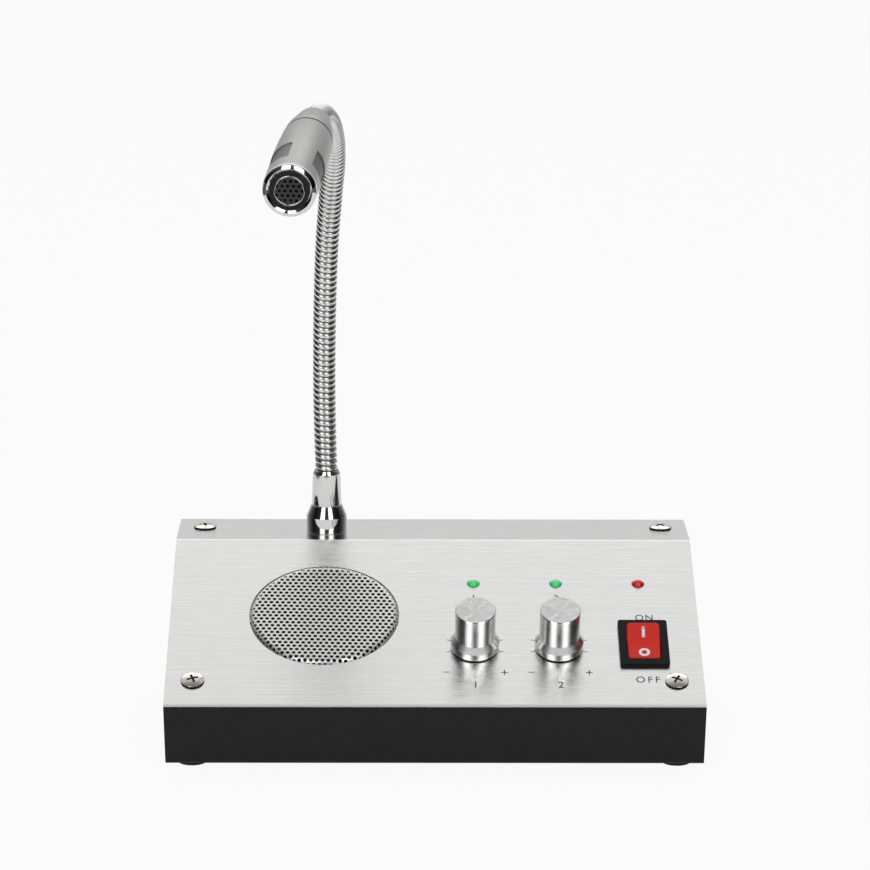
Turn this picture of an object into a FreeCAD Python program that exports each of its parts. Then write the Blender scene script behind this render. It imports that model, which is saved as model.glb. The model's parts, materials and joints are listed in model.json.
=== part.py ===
"""Teller window intercom: desk unit with a sloping front panel and a gooseneck microphone.

Lengths are in millimetres and angles in degrees. X runs to the right of the person who sits at the unit,
Y away from that person and Z up. The origin lies on the desk, under the middle of the case.
"""
import FreeCAD, Part
import math
import os
from FreeCAD import Placement, Rotation, Vector

os.makedirs("parts", exist_ok=True)

# Clearances and cutting allowances
overrun = 1.0
seat_gap = 0.03
running_gap = 0.06
loose_gap = 0.2

# Case and panel
body_width = 164.0
slope_angle = 24.67
slope_length = 78.25
strip_depth = 25.94
front_height = 21.6
panel_thickness = 0.8
bend_radius = 1.2
foot_height = 2.9
case_wall = 2.2
case_floor = 2.4
case_draft = 0.43
case_corner_radius = 1.0

# Panel screws and the bosses that they turn into
screw_from_side = 8.35
front_screw_up_slope = 10.95
rear_screw_behind_bend_share = 0.59
screw_head_radius = 3.5
screw_head_height = 1.25
screw_head_edge = 0.35
shoulder_share = 0.84
shoulder_rise_share = 0.66
screw_shank_radius = 1.5
screw_shank_length = 10.0
screw_hole_radius = 1.75
cross_length = 4.0
cross_width = 0.8
cross_depth = 0.8
boss_radius = 4.0
boss_rib_thickness = 2.0

# Rubber feet
foot_from_side = 8.0
foot_from_end = 11.72
foot_top_radius = 4.9
foot_base_radius = 4.4
foot_recess_radius = 2.9
foot_recess_depth = 2.2
foot_screw_radius = 1.3
foot_screw_length = 5.4
foot_screw_head_radius = 2.4
foot_screw_head_height = 1.3
foot_boss_radius = 3.6
foot_boss_height = 4.4

# Loudspeaker and its grille, measured from the middle of the round hole in the panel
speaker_x_share = -0.2085
speaker_up_slope = 41.56
speaker_hole_radius = 23.33
grille_rise = 0.8
grille_thickness = 0.5
grille_corner_radius = 2.0
grille_edge_gap = 0.35
grille_flange_width = 1.87
grille_pitch = 2.9
grille_hole_width = 1.7
corner_steps = 3
gasket_thickness = 1.0
basket_lip = 0.8
basket_wall = 1.0
basket_depth = 11.5
basket_back_radius = 14.5
basket_window_count = 4
basket_window_width = 14.0
basket_rim_width = 1.8
surround_width = 2.8
surround_thickness = 0.4
cone_neck_radius = 7.0
cone_depth = 6.2
cone_thickness = 0.5
dust_cap_rise = 2.4
magnet_radius = 16.0
magnet_height = 8.0
stud_radius = 1.5
stud_length = 7.5
stud_ear_radius = 3.6
nut_across_flats = 5.5
nut_height = 2.4

# Volume controls: each column carries an indicator above a knob
column_x_share = 0.0756
column_pitch_share = 0.1579
knob_up_slope = 26.9
knob_top_radius = 6.25
knob_flare_width = 1.25
knob_height = 14.2
knob_lift = 0.5
knob_rim_height = 1.3
knob_flare_height = 3.2
knob_edge_chamfer = 0.35
knob_recess_wall = 0.05
knob_recess_depth = 3.4
knob_bore_depth = 10.5
pointer_width = 0.7
pointer_depth = 0.3
pointer_length = 3.6
shaft_radius = 3.0
shaft_flat_depth = 1.0
bushing_radius = 3.5
bushing_height = 3.6
pot_body_radius = 8.0
pot_body_height = 7.5
pot_shoulder_height = 1.2
pot_nut_across_flats = 9.6
pot_nut_height = 1.6
pot_lug_width = 11.0
pot_lug_reach = 11.0
pot_lug_thickness = 1.6
turn_range = 300.0

# Indicator lamps
lamp_up_slope = 56.6
lamp_radius = 2.0
lamp_rise = 1.25
lamp_flange_radius = 2.5
lamp_flange_height = 1.0
lamp_lead_radius = 0.3
lamp_lead_spacing = 2.54

# Control board, parallel to the sloping panel
board_thickness = 1.6
control_board_side_margin = 11.8
control_board_end_margin = 6.1
board_to_switch_gap = 2.0

# Rocker switch
switch_x_share = 0.3927
switch_up_slope = 27.8
bezel_side_lip = 1.2
bezel_end_lip = 0.85
bezel_height = 1.2
bezel_corner_radius = 0.9
switch_side_wall = 1.25
switch_end_wall = 1.7
switch_body_width = 12.8
switch_body_length = 18.8
switch_body_depth = 15.0
switch_pocket_depth = 6.0
rocker_side_gap = 0.15
rocker_end_gap = 0.7
rocker_rise = 1.55
rocker_drop = 3.2
rocker_face_angle = 11.0
rocker_throw = 24.0
rocker_pivot_rise = -0.4
rocker_edge_radius = 0.5
trunnion_radius = 1.2
trunnion_length = 0.9
terminal_width = 4.8
terminal_thickness = 0.8
terminal_length = 7.0
terminal_pitch = 6.6

# Gooseneck: collar, ferrule and the bending tube
neck_x_share = -0.2091
neck_behind_bend_share = 0.4742
collar_step = 1.75
collar_height = 5.0
collar_cone_height = 3.7
collar_edge = 0.3
wire_radius = 2.2
tube_clearance = 0.12
ferrule_wall = 0.65
ferrule_taper = 0.4
ferrule_height = 10.5
ferrule_chamfer_height = 1.0
ferrule_chamfer_share = 0.85
stem_radius = 5.0
stem_length = 11.0
lock_nut_across_flats = 14.0
lock_nut_height = 4.0
lock_washer_width = 3.6
lock_washer_thickness = 1.2
rib_radius = 3.58
rib_depth = 0.53
bore_radius = 2.0
rib_pitch = 2.124
rib_flank_share = 0.24
link_count = 9
ribs_per_link = 9
stub_ribs = 3
stub_insertion = 6.0
bend_limit = 15.0
bore_spans = 3

# Forward tilt and sideways lean of the tube at its two ends and at each bend, from the ferrule up
tilt_degrees = (3.9, 11.6, 22.3, 24.2, 25.2, 29.8, 39.6, 52.0, 63.4, 76.0, 91.5, 97.5)
lean_degrees = (-1.9, -1.4, 0.0, 1.0, 1.7, 3.0, 4.5, 2.5, -4.5, -5.4, -4.8, -4.3)

# Microphone head, measured along its own axis from its rear rim
mic_length = 65.6
mic_rear_radius = 5.0
mic_shoulder_at = 13.5
mic_shoulder_radius = 6.8
mic_seam_at = 18.6
mic_seam_radius = 7.05
mic_seam_groove = 0.35
mic_belly_to_face = 25.6
mic_belly_radius = 7.5
belly_share = 0.72
mic_neck_radius = 7.2
mic_wall = 0.9
mic_ring_length = 2.2
mic_ring_step = 0.2
mic_ring_lip = 0.1
mic_face_recess = 0.5
mic_face_thickness = 1.2
mic_face_width = 1.8
mic_grille_thickness = 0.6
mic_hole_pitch = 1.6
mic_hole_width = 0.87
mic_hole_rings = 2
vent_count = 3
vent_to_face = 21.6
vent_length = 13.0
vent_angle = 65.0
vent_turn = 11.4
screen_lap = 0.5
screen_thickness = 0.3
boot_wall = 1.0
capsule_length = 6.7
boot_length = 3.5
spigot_length = 3.0

# Amplifier board on the floor of the case
amp_board_width = 92.0
amp_board_depth = 46.0
amp_board_x_share = 0.0732
amp_board_lift = 5.0
amp_board_hole_inset = 4.0
amp_screw_radius = 1.4
amp_screw_head_radius = 2.6
amp_screw_head_height = 1.6
amp_screw_length = 5.0
standoff_radius = 3.2
chip_width = 20.0
chip_depth = 4.6
chip_height = 11.0
chip_from_board_middle = 22.0
chip_from_board_back = 31.69
sink_width = 30.0
sink_base = 1.6
sink_fin_count = 6
sink_fin_depth = 7.0
sink_fin_thickness = 1.0
sink_height = 18.0
capacitor_radius = 5.0
capacitor_height = 16.0
capacitor_shares = ((1.0, 1.0), (0.8, 0.75), (0.8, 0.75), (0.63, 0.69), (0.63, 0.69))
capacitor_to_sink = 4.0
capacitor_from_board_back = 19.7
capacitor_pitch = 10.5

# Sockets in the rear wall
socket_rise = 3.6
jack_body_width = 11.0
jack_body_height = 7.0
jack_body_depth = 12.0
jack_nose_radius = 3.0
jack_bore_radius = 1.8
window_jack_from_board_side = 40.0
recorder_jack_from_board_side = 60.0
power_jack_from_board_side = 16.0
power_jack_width = 9.0
power_jack_height = 11.0
power_jack_depth = 14.2
power_bore_radius = 3.15
power_bore_depth = 9.5
power_pin_radius = 1.05
power_pin_recess = 1.0
power_socket_rise = 6.5

# Derived places
pointer_angle = 90.0 + turn_range / 2
groove_radius = rib_radius - rib_depth
ferrule_top_radius = rib_radius + tube_clearance + ferrule_wall
ferrule_radius = ferrule_top_radius + ferrule_taper
collar_radius = ferrule_radius + collar_step
lock_washer_radius = stem_radius + lock_washer_width
bend_gap = 2 * groove_radius * math.tan(math.radians(bend_limit / 2)) + running_gap
sine = math.sin(math.radians(slope_angle))
cosine = math.cos(math.radians(slope_angle))
body_depth = slope_length * cosine + strip_depth
front_y = -body_depth / 2
back_y = body_depth / 2
bend_y = front_y + slope_length * cosine
top_height = front_height + slope_length * sine
case_top_front = front_height - panel_thickness / cosine
case_top_back = top_height - panel_thickness
under_bend_y = bend_y + panel_thickness * math.tan(math.radians(slope_angle / 2))
floor_top = foot_height + case_floor
panel_back = -panel_thickness
screw_x = body_width / 2 - screw_from_side
foot_x = body_width / 2 - foot_from_side
foot_y = body_depth / 2 - foot_from_end
speaker_x = speaker_x_share * body_width
grille_flange_radius = speaker_hole_radius + grille_flange_width
basket_radius = grille_flange_radius + basket_lip
surround_outer_radius = basket_radius - basket_rim_width
surround_inner_radius = surround_outer_radius - basket_wall - surround_width
stud_circle_radius = basket_radius + stud_ear_radius
lamp_columns = tuple((column_x_share + i * column_pitch_share) * body_width for i in range(3))
knob_columns = lamp_columns[:2]
control_board_left = lamp_columns[0] - control_board_side_margin
control_board_right = lamp_columns[-1] + control_board_side_margin
control_board_low = knob_up_slope - pot_lug_reach - pot_lug_thickness
control_board_high = lamp_up_slope + control_board_end_margin
switch_x = switch_x_share * body_width
bezel_width = switch_body_width + 2 * bezel_side_lip
bezel_length = switch_body_length + 2 * bezel_end_lip
bezel_opening_width = switch_body_width - 2 * switch_side_wall
bezel_opening_length = switch_body_length - 2 * switch_end_wall
rocker_width = bezel_opening_width - 2 * rocker_side_gap
rocker_half_length = bezel_opening_length / 2 - rocker_end_gap
neck_x = neck_x_share * body_width
neck_behind_bend = neck_behind_bend_share * strip_depth
rear_screw_behind_bend = rear_screw_behind_bend_share * strip_depth
knob_skirt_radius = knob_top_radius + knob_flare_width
knob_recess_radius = knob_top_radius - knob_recess_wall
mic_inner_radius = mic_shoulder_radius - mic_wall
mic_ring_radius = mic_neck_radius - mic_ring_step
mic_ring_inner_radius = mic_inner_radius - mic_ring_lip
mic_grille_radius = mic_ring_inner_radius - mic_face_width
capsule_radius = mic_ring_inner_radius - boot_wall
mic_belly_at = mic_length - mic_belly_to_face
vent_start = mic_length - vent_to_face
amp_board_x = amp_board_x_share * body_width
amp_board_left = amp_board_x - amp_board_width / 2
amp_board_back = back_y - case_draft - case_wall - loose_gap
chip_x = amp_board_x + chip_from_board_middle
chip_y = amp_board_back - chip_from_board_back
capacitor_x = chip_x - sink_width / 2 - capacitor_to_sink - (len(capacitor_shares) - 1) * capacitor_pitch
capacitor_y = amp_board_back - capacitor_from_board_back
window_jack_x = amp_board_left + window_jack_from_board_side
recorder_jack_x = amp_board_left + recorder_jack_from_board_side
power_jack_x = amp_board_left + power_jack_from_board_side


def block(low, high):
    """A box between two corners."""
    size = high - low
    return Part.makeBox(size.x, size.y, size.z, low)


def rod(radius, low, high, x=0.0, y=0.0):
    """An upright cylinder between two heights."""
    return Part.makeCylinder(radius, high - low, Vector(x, y, low))


def turned(outline):
    """A solid of revolution about Z from (radius, height) points."""
    points = [Vector(radius, 0.0, height) for radius, height in outline]
    face = Part.Face(Part.makePolygon(points + points[:1]))
    return face.revolve(Vector(0.0, 0.0, 0.0), Vector(0.0, 0.0, 1.0), 360.0)


def drawn_across(outline, half_width):
    """A prism along X from (y, z) points, centred on X = 0."""
    points = [Vector(-half_width, y, z) for y, z in outline]
    face = Part.Face(Part.makePolygon(points + points[:1]))
    return face.extrude(Vector(2 * half_width, 0.0, 0.0))


def hexagon(across_flats, low, high, x=0.0, y=0.0):
    """A hexagonal prism, such as a nut without its hole."""
    radius = across_flats / 2 / math.cos(math.radians(30.0))
    corners = [Vector(x + radius * math.cos(math.radians(60.0 * i)),
                      y + radius * math.sin(math.radians(60.0 * i)), low) for i in range(6)]
    return Part.Face(Part.makePolygon(corners + corners[:1])).extrude(Vector(0.0, 0.0, high - low))


def placed(shape, move, turn=None):
    """A copy of a shape, turned and then moved."""
    result = shape.copy()
    result.Placement = Placement(move, turn or Rotation()).multiply(shape.Placement)
    return result


def on_slope(shape, x=0.0, up_slope=0.0):
    """Stand a shape on the sloping panel: its Y runs up the slope and its Z is the panel's normal."""
    turn = Rotation(Vector(1.0, 0.0, 0.0), slope_angle)
    move = Vector(x, front_y + up_slope * cosine, front_height + up_slope * sine)
    return placed(shape, move, turn)


def on_strip(shape, x=0.0, behind_bend=0.0):
    """Stand a shape on the flat strip behind the bend."""
    return placed(shape, Vector(x, bend_y + behind_bend, top_height))


def at_corners(x, y):
    """The four places that mirror one another about the middle."""
    return [(side * x, end * y) for side in (-1, 1) for end in (-1, 1)]


def edges_along(shape, direction, choose):
    """The straight edges of a shape that run along a direction and pass a test of their middle."""
    found = []
    for edge in shape.Edges:
        if edge.Curve.TypeId != "Part::GeomLine":
            continue
        if abs(abs(edge.tangentAt(edge.FirstParameter).dot(direction)) - 1.0) > 1e-6:
            continue
        if choose(edge.CenterOfMass):
            found.append(edge)
    return found


def case_outline():
    """The closed outer outline of the case from the side, under the panel."""
    return [(front_y + case_draft, foot_height), (front_y, case_top_front), (under_bend_y, case_top_back),
            (back_y, case_top_back), (back_y - case_draft, foot_height)]


def case_block():
    """The case as a full block: its sides lean in towards the desk by the moulding draft."""
    shape = drawn_across(case_outline(), body_width / 2)
    low_z = foot_height - overrun
    lean = case_draft * overrun / (case_top_front - foot_height)
    for side in (-1, 1):
        edge = side * body_width / 2
        far = edge + side * overrun
        corners = [Vector(edge, front_y - overrun, case_top_front), Vector(far, front_y - overrun, case_top_front),
                   Vector(far, front_y - overrun, low_z),
                   Vector(edge - side * (case_draft + lean), front_y - overrun, low_z)]
        wedge = Part.Face(Part.makePolygon(corners + corners[:1]))
        shape = shape.cut(wedge.extrude(Vector(0.0, body_depth + 2 * overrun, 0.0)))
    return shape


def case_cavity():
    """The hollow of the case, open at the top."""
    inner = case_draft + case_wall
    high = top_height + overrun
    outline = [(front_y + inner, floor_top), (front_y + inner, high), (back_y - inner, high),
               (back_y - inner, floor_top)]
    return drawn_across(outline, body_width / 2 - inner)


def panel_bosses():
    """Four posts for the panel screws: the front pair leans square to the slope, the rear pair stands."""
    reach = top_height
    shapes = []
    for side in (-1, 1):
        x = side * screw_x
        shapes.append(on_slope(rod(boss_radius, -reach, panel_back), x, front_screw_up_slope))
        shapes.append(on_strip(rod(boss_radius, -reach, panel_back), x, rear_screw_behind_bend))
        middle = bend_y + rear_screw_behind_bend
        outer = side * (body_width / 2 - case_wall)
        low = Vector(min(x, outer), middle - boss_rib_thickness / 2, floor_top)
        high = Vector(max(x, outer), middle + boss_rib_thickness / 2, case_top_back)
        shapes.append(block(low, high))
    return shapes


def panel_screw_holes(radius, depth):
    """Holes for the four panel screws, from above the panel down to a depth under its top."""
    holes = []
    for side in (-1, 1):
        hole = rod(radius, -depth, overrun)
        holes.append(on_slope(hole, side * screw_x, front_screw_up_slope))
        holes.append(on_strip(hole, side * screw_x, rear_screw_behind_bend))
    return holes


def amp_board_corners():
    """Screw places of the amplifier board."""
    y_middle = amp_board_back - amp_board_depth / 2
    half_x = amp_board_width / 2 - amp_board_hole_inset
    half_y = amp_board_depth / 2 - amp_board_hole_inset
    return [(amp_board_x + x, y_middle + y) for x, y in at_corners(half_x, half_y)]


def amp_board_top():
    """The upper face of the amplifier board."""
    return floor_top + amp_board_lift + board_thickness


def socket_holes():
    """Openings of the rear wall for the noses of two round jacks and the face of the power socket."""
    low_y = back_y - case_draft - case_wall - overrun
    holes = []
    for x in (window_jack_x, recorder_jack_x):
        hole = Part.makeCylinder(jack_nose_radius + loose_gap, back_y + overrun - low_y,
                                 Vector(x, low_y, amp_board_top() + socket_rise), Vector(0.0, 1.0, 0.0))
        holes.append(hole)
    half = power_jack_width / 2 + loose_gap
    low = Vector(power_jack_x - half, low_y, amp_board_top() - loose_gap)
    high = Vector(power_jack_x + half, back_y + overrun, amp_board_top() + power_jack_height + loose_gap)
    holes.append(block(low, high))
    return holes


def make_lower_case():
    """Moulded tray: sloping side walls, floor, screw posts, foot bosses and board standoffs."""
    full = case_block()
    corners = edges_along(full, Vector(1.0, 0.0, 0.0), lambda middle: middle.z < floor_top)
    full = full.makeFillet(case_corner_radius, corners)
    shape = full.cut(case_cavity())
    posts = panel_bosses()
    for x, y in at_corners(foot_x, foot_y):
        posts.append(rod(foot_boss_radius, foot_height, floor_top + foot_boss_height, x, y))
    for x, y in amp_board_corners():
        posts.append(rod(standoff_radius, foot_height, floor_top + amp_board_lift, x, y))
    for post in posts:
        shape = shape.fuse(post.common(full))
    holes = panel_screw_holes(screw_shank_radius - seat_gap, panel_thickness + screw_shank_length + overrun)
    for x, y in at_corners(foot_x, foot_y):
        holes.append(rod(foot_screw_radius + seat_gap, foot_height - overrun,
                         foot_recess_depth + foot_screw_length + overrun, x, y))
    for x, y in amp_board_corners():
        holes.append(rod(amp_screw_radius + seat_gap, amp_board_top() - amp_screw_length - overrun,
                         amp_board_top(), x, y))
    return shape.cut(Part.makeCompound(holes + socket_holes())).removeSplitter()


def make_top_panel():
    """Bent aluminium sheet: the slope and the flat strip, with every hole that it carries."""
    outline = [(front_y, front_height), (bend_y, top_height), (back_y, top_height), (back_y, case_top_back),
               (under_bend_y, case_top_back),
               (front_y + panel_thickness * sine, front_height - panel_thickness * cosine)]
    shape = drawn_across(outline, body_width / 2)
    along = Vector(1.0, 0.0, 0.0)
    shape = shape.makeFillet(bend_radius, edges_along(shape, along, lambda middle:
                             abs(middle.y - bend_y) < seat_gap and middle.z > case_top_back + seat_gap))
    deep = panel_thickness + overrun
    holes = panel_screw_holes(screw_hole_radius, deep)
    holes.append(on_slope(rod(speaker_hole_radius, -deep, overrun), speaker_x, speaker_up_slope))
    for x in knob_columns:
        holes.append(on_slope(rod(bushing_radius + seat_gap, -deep, overrun), x, knob_up_slope))
    for x in lamp_columns:
        holes.append(on_slope(rod(lamp_radius + seat_gap, -deep, overrun), x, lamp_up_slope))
    half = Vector(switch_body_width / 2 + seat_gap, switch_body_length / 2 + seat_gap, 0.0)
    window = block(Vector(-half.x, -half.y, -deep), Vector(half.x, half.y, overrun))
    holes.append(on_slope(window, switch_x, switch_up_slope))
    holes.append(on_strip(rod(stem_radius + seat_gap, -deep, overrun), neck_x, neck_behind_bend))
    return shape.cut(Part.makeCompound(holes))


def screw_head_cross(height, depth):
    """A cross recess cutter that reaches down from a head's top."""
    arm = Vector(cross_length / 2, cross_width / 2, 0.0)
    low = height - depth
    high = height + overrun
    first = block(Vector(-arm.x, -arm.y, low), Vector(arm.x, arm.y, high))
    second = block(Vector(-arm.y, -arm.x, low), Vector(arm.y, arm.x, high))
    return first.fuse(second)


def make_panel_screws():
    """Four pan-head screws that stand on the panel."""
    dome = screw_head_height - screw_head_edge
    head = [(0.0, 0.0), (screw_head_radius, 0.0), (screw_head_radius, screw_head_edge),
            (screw_head_radius * shoulder_share, screw_head_edge + dome * shoulder_rise_share),
            (screw_head_radius / 2, screw_head_height), (0.0, screw_head_height)]
    shape = turned(head).cut(screw_head_cross(screw_head_height, cross_depth))
    shape = shape.fuse(rod(screw_shank_radius - seat_gap, -screw_shank_length, 0.0)).removeSplitter()
    screws = []
    for side in (-1, 1):
        screws.append(on_slope(shape, side * screw_x, front_screw_up_slope))
        screws.append(on_strip(shape, side * screw_x, rear_screw_behind_bend))
    return Part.makeCompound(screws)


def make_rubber_feet():
    """Four tapered rubber feet, each with a recess for its screw."""
    outline = [(foot_screw_radius + seat_gap, foot_recess_depth), (foot_recess_radius, foot_recess_depth),
               (foot_recess_radius, 0.0), (foot_base_radius, 0.0), (foot_top_radius, foot_height),
               (foot_screw_radius + seat_gap, foot_height)]
    foot = turned(outline)
    return Part.makeCompound([placed(foot, Vector(x, y, 0.0)) for x, y in at_corners(foot_x, foot_y)])


def make_foot_screws():
    """Short screws that hold the feet to the floor of the case."""
    base = foot_recess_depth
    shape = rod(foot_screw_head_radius, base - foot_screw_head_height, base)
    shape = shape.fuse(rod(foot_screw_radius, base, base + foot_screw_length)).removeSplitter()
    return Part.makeCompound([placed(shape, Vector(x, y, 0.0)) for x, y in at_corners(foot_x, foot_y)])


def hole_grid(pitch, limit):
    """Staggered hole places, with rows along X, within a radius."""
    row_pitch = pitch * math.sin(math.radians(60.0))
    rows = int(limit / row_pitch)
    places = []
    for row in range(-rows, rows + 1):
        shift = (row % 2) / 2
        count = int(limit / pitch) + 1
        for column in range(-count, count + 1):
            x = (column + shift) * pitch
            y = row * row_pitch
            if math.hypot(x, y) <= limit:
                places.append((x, y))
    return places


def corner_points(x, z, radius):
    """Points along a rounded corner about (x, z), from just below its top to its side."""
    angles = [math.radians(90.0 - 90.0 * i / corner_steps) for i in range(1, corner_steps + 1)]
    return [(x + radius * math.cos(angle), z + radius * math.sin(angle)) for angle in angles]


def make_speaker_grille():
    """Pressed cap of perforated steel: a flat face, a rounded edge and a flange under the panel."""
    outer = speaker_hole_radius - grille_edge_gap
    inner = outer - grille_thickness
    bend = grille_corner_radius
    inner_bend = bend - grille_thickness
    under = grille_rise - grille_thickness
    flange_low = panel_back - grille_thickness
    outline = [(0.0, under), (0.0, grille_rise), (outer - bend, grille_rise)]
    outline += corner_points(outer - bend, grille_rise - bend, bend)
    outline += [(outer, flange_low), (inner, flange_low)]
    outline += corner_points(inner - inner_bend, under - inner_bend, inner_bend)[::-1]
    outline.append((inner - inner_bend, under))
    cap = turned(outline)
    flange = rod(grille_flange_radius, flange_low, panel_back).cut(rod(inner, flange_low, panel_back))
    holes = [hexagon(grille_hole_width, under - overrun, grille_rise + overrun, x, y)
             for x, y in hole_grid(grille_pitch, inner - inner_bend - grille_hole_width)]
    shape = cap.fuse(flange).removeSplitter().cut(Part.makeCompound(holes))
    return on_slope(shape, speaker_x, speaker_up_slope)


def speaker_front():
    """Height of the basket's front face along the panel's normal."""
    return panel_back - grille_thickness - gasket_thickness


def make_speaker_gasket():
    """Foam ring between the grille's flange and the basket."""
    high = panel_back - grille_thickness
    ring = rod(grille_flange_radius, high - gasket_thickness, high)
    ring = ring.cut(rod(speaker_hole_radius - grille_edge_gap, high - gasket_thickness, high))
    return on_slope(ring, speaker_x, speaker_up_slope)


def stud_places():
    """The four studs round the speaker, on its diagonals."""
    reach = stud_circle_radius * math.sqrt(0.5)
    return at_corners(reach, reach)


def make_speaker_basket():
    """Pressed steel basket: a flange with four ears, a cone with windows and a flat back."""
    front = speaker_front()
    back = front - basket_depth
    wall = basket_wall
    outline = [(basket_radius, front), (basket_radius, front - wall), (surround_outer_radius, front - wall),
               (basket_back_radius, back), (cone_neck_radius, back), (cone_neck_radius, back + wall),
               (basket_back_radius - wall / 2, back + wall), (surround_outer_radius - wall, front)]
    shape = turned(outline)
    ears = [rod(stud_ear_radius, front - wall, front, x, y) for x, y in stud_places()]
    hub = rod(surround_outer_radius, front - wall, front)
    for ear, (x, y) in zip(ears, stud_places()):
        arm = block(Vector(0.0, -stud_ear_radius, front - wall),
                    Vector(stud_circle_radius, stud_ear_radius, front))
        turn = Rotation(Vector(0.0, 0.0, 1.0), math.degrees(math.atan2(y, x)))
        shape = shape.fuse(ear).fuse(placed(arm, Vector(), turn).cut(hub))
    holes = [rod(stud_radius + loose_gap, front - wall - overrun, front + overrun, x, y)
             for x, y in stud_places()]
    half = basket_window_width / 2
    for i in range(basket_window_count):
        slot = block(Vector(basket_back_radius, -half, back + 2 * wall),
                     Vector(basket_radius, half, front - 2 * wall))
        turn = Rotation(Vector(0.0, 0.0, 1.0), 360.0 * i / basket_window_count)
        holes.append(placed(slot, Vector(), turn))
    return on_slope(shape.cut(Part.makeCompound(holes)).removeSplitter(), speaker_x, speaker_up_slope)


def make_speaker_surround():
    """Rolled edge that carries the cone on the basket's flange."""
    front = speaker_front()
    width = surround_outer_radius - basket_wall - surround_inner_radius
    crown = width / 3
    outer = surround_outer_radius - basket_wall - surround_thickness - seat_gap
    outline = [(outer, front), (outer - width / 3, front + crown), (surround_inner_radius, front),
               (surround_inner_radius, front - surround_thickness),
               (outer - width / 3, front + crown - surround_thickness), (outer, front - surround_thickness)]
    return on_slope(turned(outline), speaker_x, speaker_up_slope)


def make_speaker_cone():
    """Paper cone from the surround down to the voice coil."""
    front = speaker_front() - surround_thickness - seat_gap
    back = front - cone_depth
    outline = [(surround_inner_radius + surround_thickness, front),
               (surround_inner_radius + surround_thickness, front - cone_thickness),
               (cone_neck_radius, back - cone_thickness), (cone_neck_radius, back)]
    return on_slope(turned(outline), speaker_x, speaker_up_slope)


def make_speaker_dust_cap():
    """Domed cap and voice coil former in the middle of the cone."""
    back = speaker_front() - surround_thickness - seat_gap - cone_depth
    radius = cone_neck_radius - seat_gap
    low = speaker_front() - basket_depth + basket_wall
    outline = [(0.0, back + dust_cap_rise), (radius * 2 / 3, back + dust_cap_rise * 2 / 3), (radius, back),
               (radius, low), (radius - cone_thickness, low), (radius - cone_thickness, back - cone_thickness),
               (0.0, back + dust_cap_rise - cone_thickness)]
    return on_slope(turned(outline), speaker_x, speaker_up_slope)


def make_speaker_magnet():
    """Ring magnet with its plates, on the back of the basket."""
    back = speaker_front() - basket_depth
    return on_slope(rod(magnet_radius, back - magnet_height, back), speaker_x, speaker_up_slope)


def make_panel_studs():
    """Threaded studs welded to the back of the panel for the speaker."""
    studs = [on_slope(placed(rod(stud_radius, panel_back - stud_length, panel_back), Vector(x, y, 0.0)),
                      speaker_x, speaker_up_slope) for x, y in stud_places()]
    return Part.makeCompound(studs)


def make_speaker_nuts():
    """Nuts that clamp the ears of the basket."""
    high = speaker_front() - basket_wall
    nut = hexagon(nut_across_flats, high - nut_height, high).cut(rod(stud_radius, high - nut_height, high))
    return Part.makeCompound([on_slope(placed(nut, Vector(x, y, 0.0)), speaker_x, speaker_up_slope)
                              for x, y in stud_places()])


def make_knob(x):
    """Turned knob: straight body, flared skirt with a short rim, and an engraved pointer."""
    low = knob_lift
    high = knob_lift + knob_height
    outline = [(0.0, low), (knob_skirt_radius, low), (knob_skirt_radius, low + knob_rim_height),
               (knob_top_radius, low + knob_rim_height + knob_flare_height),
               (knob_top_radius, high - knob_edge_chamfer), (knob_top_radius - knob_edge_chamfer, high),
               (0.0, high)]
    shape = turned(outline)
    half = pointer_width / 2
    reach = knob_top_radius - knob_edge_chamfer
    groove = block(Vector(reach - pointer_length, -half, high - pointer_depth),
                   Vector(reach - half, half, high + overrun))
    groove = placed(groove, Vector(), Rotation(Vector(0.0, 0.0, 1.0), pointer_angle))
    recess = rod(knob_recess_radius, low - overrun, low + knob_recess_depth)
    bore = rod(shaft_radius + seat_gap, low, low + knob_bore_depth)
    return on_slope(shape.cut(Part.makeCompound([groove, recess.fuse(bore)])), x, knob_up_slope)


def make_shaft(x):
    """Shaft of a volume control, with a flat near its end."""
    low = panel_back - pot_body_height / 2
    high = knob_lift + knob_bore_depth - loose_gap
    shape = rod(shaft_radius, low, high)
    flat = block(Vector(shaft_radius - shaft_flat_depth, -shaft_radius, bushing_height + loose_gap),
                 Vector(shaft_radius + overrun, shaft_radius, high + overrun))
    return on_slope(shape.cut(flat), x, knob_up_slope)


def make_pot(x):
    """Body of a volume control: a can with a threaded bushing through the panel and a row of lugs."""
    shoulder = panel_back - pot_shoulder_height
    body = rod(pot_body_radius, shoulder - pot_body_height, shoulder)
    body = body.fuse(rod(bushing_radius, shoulder, bushing_height))
    body = body.fuse(rod(bushing_radius + pot_shoulder_height, shoulder, panel_back))
    lugs = block(Vector(-pot_lug_width / 2, -pot_lug_reach, shoulder - pot_body_height),
                 Vector(pot_lug_width / 2, 0.0, shoulder - pot_body_height + pot_lug_thickness))
    hollow = rod(shaft_radius + running_gap, panel_back - pot_body_height / 2 - running_gap,
                 bushing_height + overrun)
    return on_slope(body.fuse(lugs).cut(hollow).removeSplitter(), x, knob_up_slope)


def make_pot_nuts():
    """Thin nuts that clamp both controls to the panel, inside the knobs' recesses."""
    nut = hexagon(pot_nut_across_flats, 0.0, pot_nut_height).cut(rod(bushing_radius, 0.0, pot_nut_height))
    return Part.makeCompound([on_slope(nut, x, knob_up_slope) for x in knob_columns])


def control_board_face():
    """Height of the front face of the control board along the panel's normal."""
    return panel_back - pot_shoulder_height - pot_body_height


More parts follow.
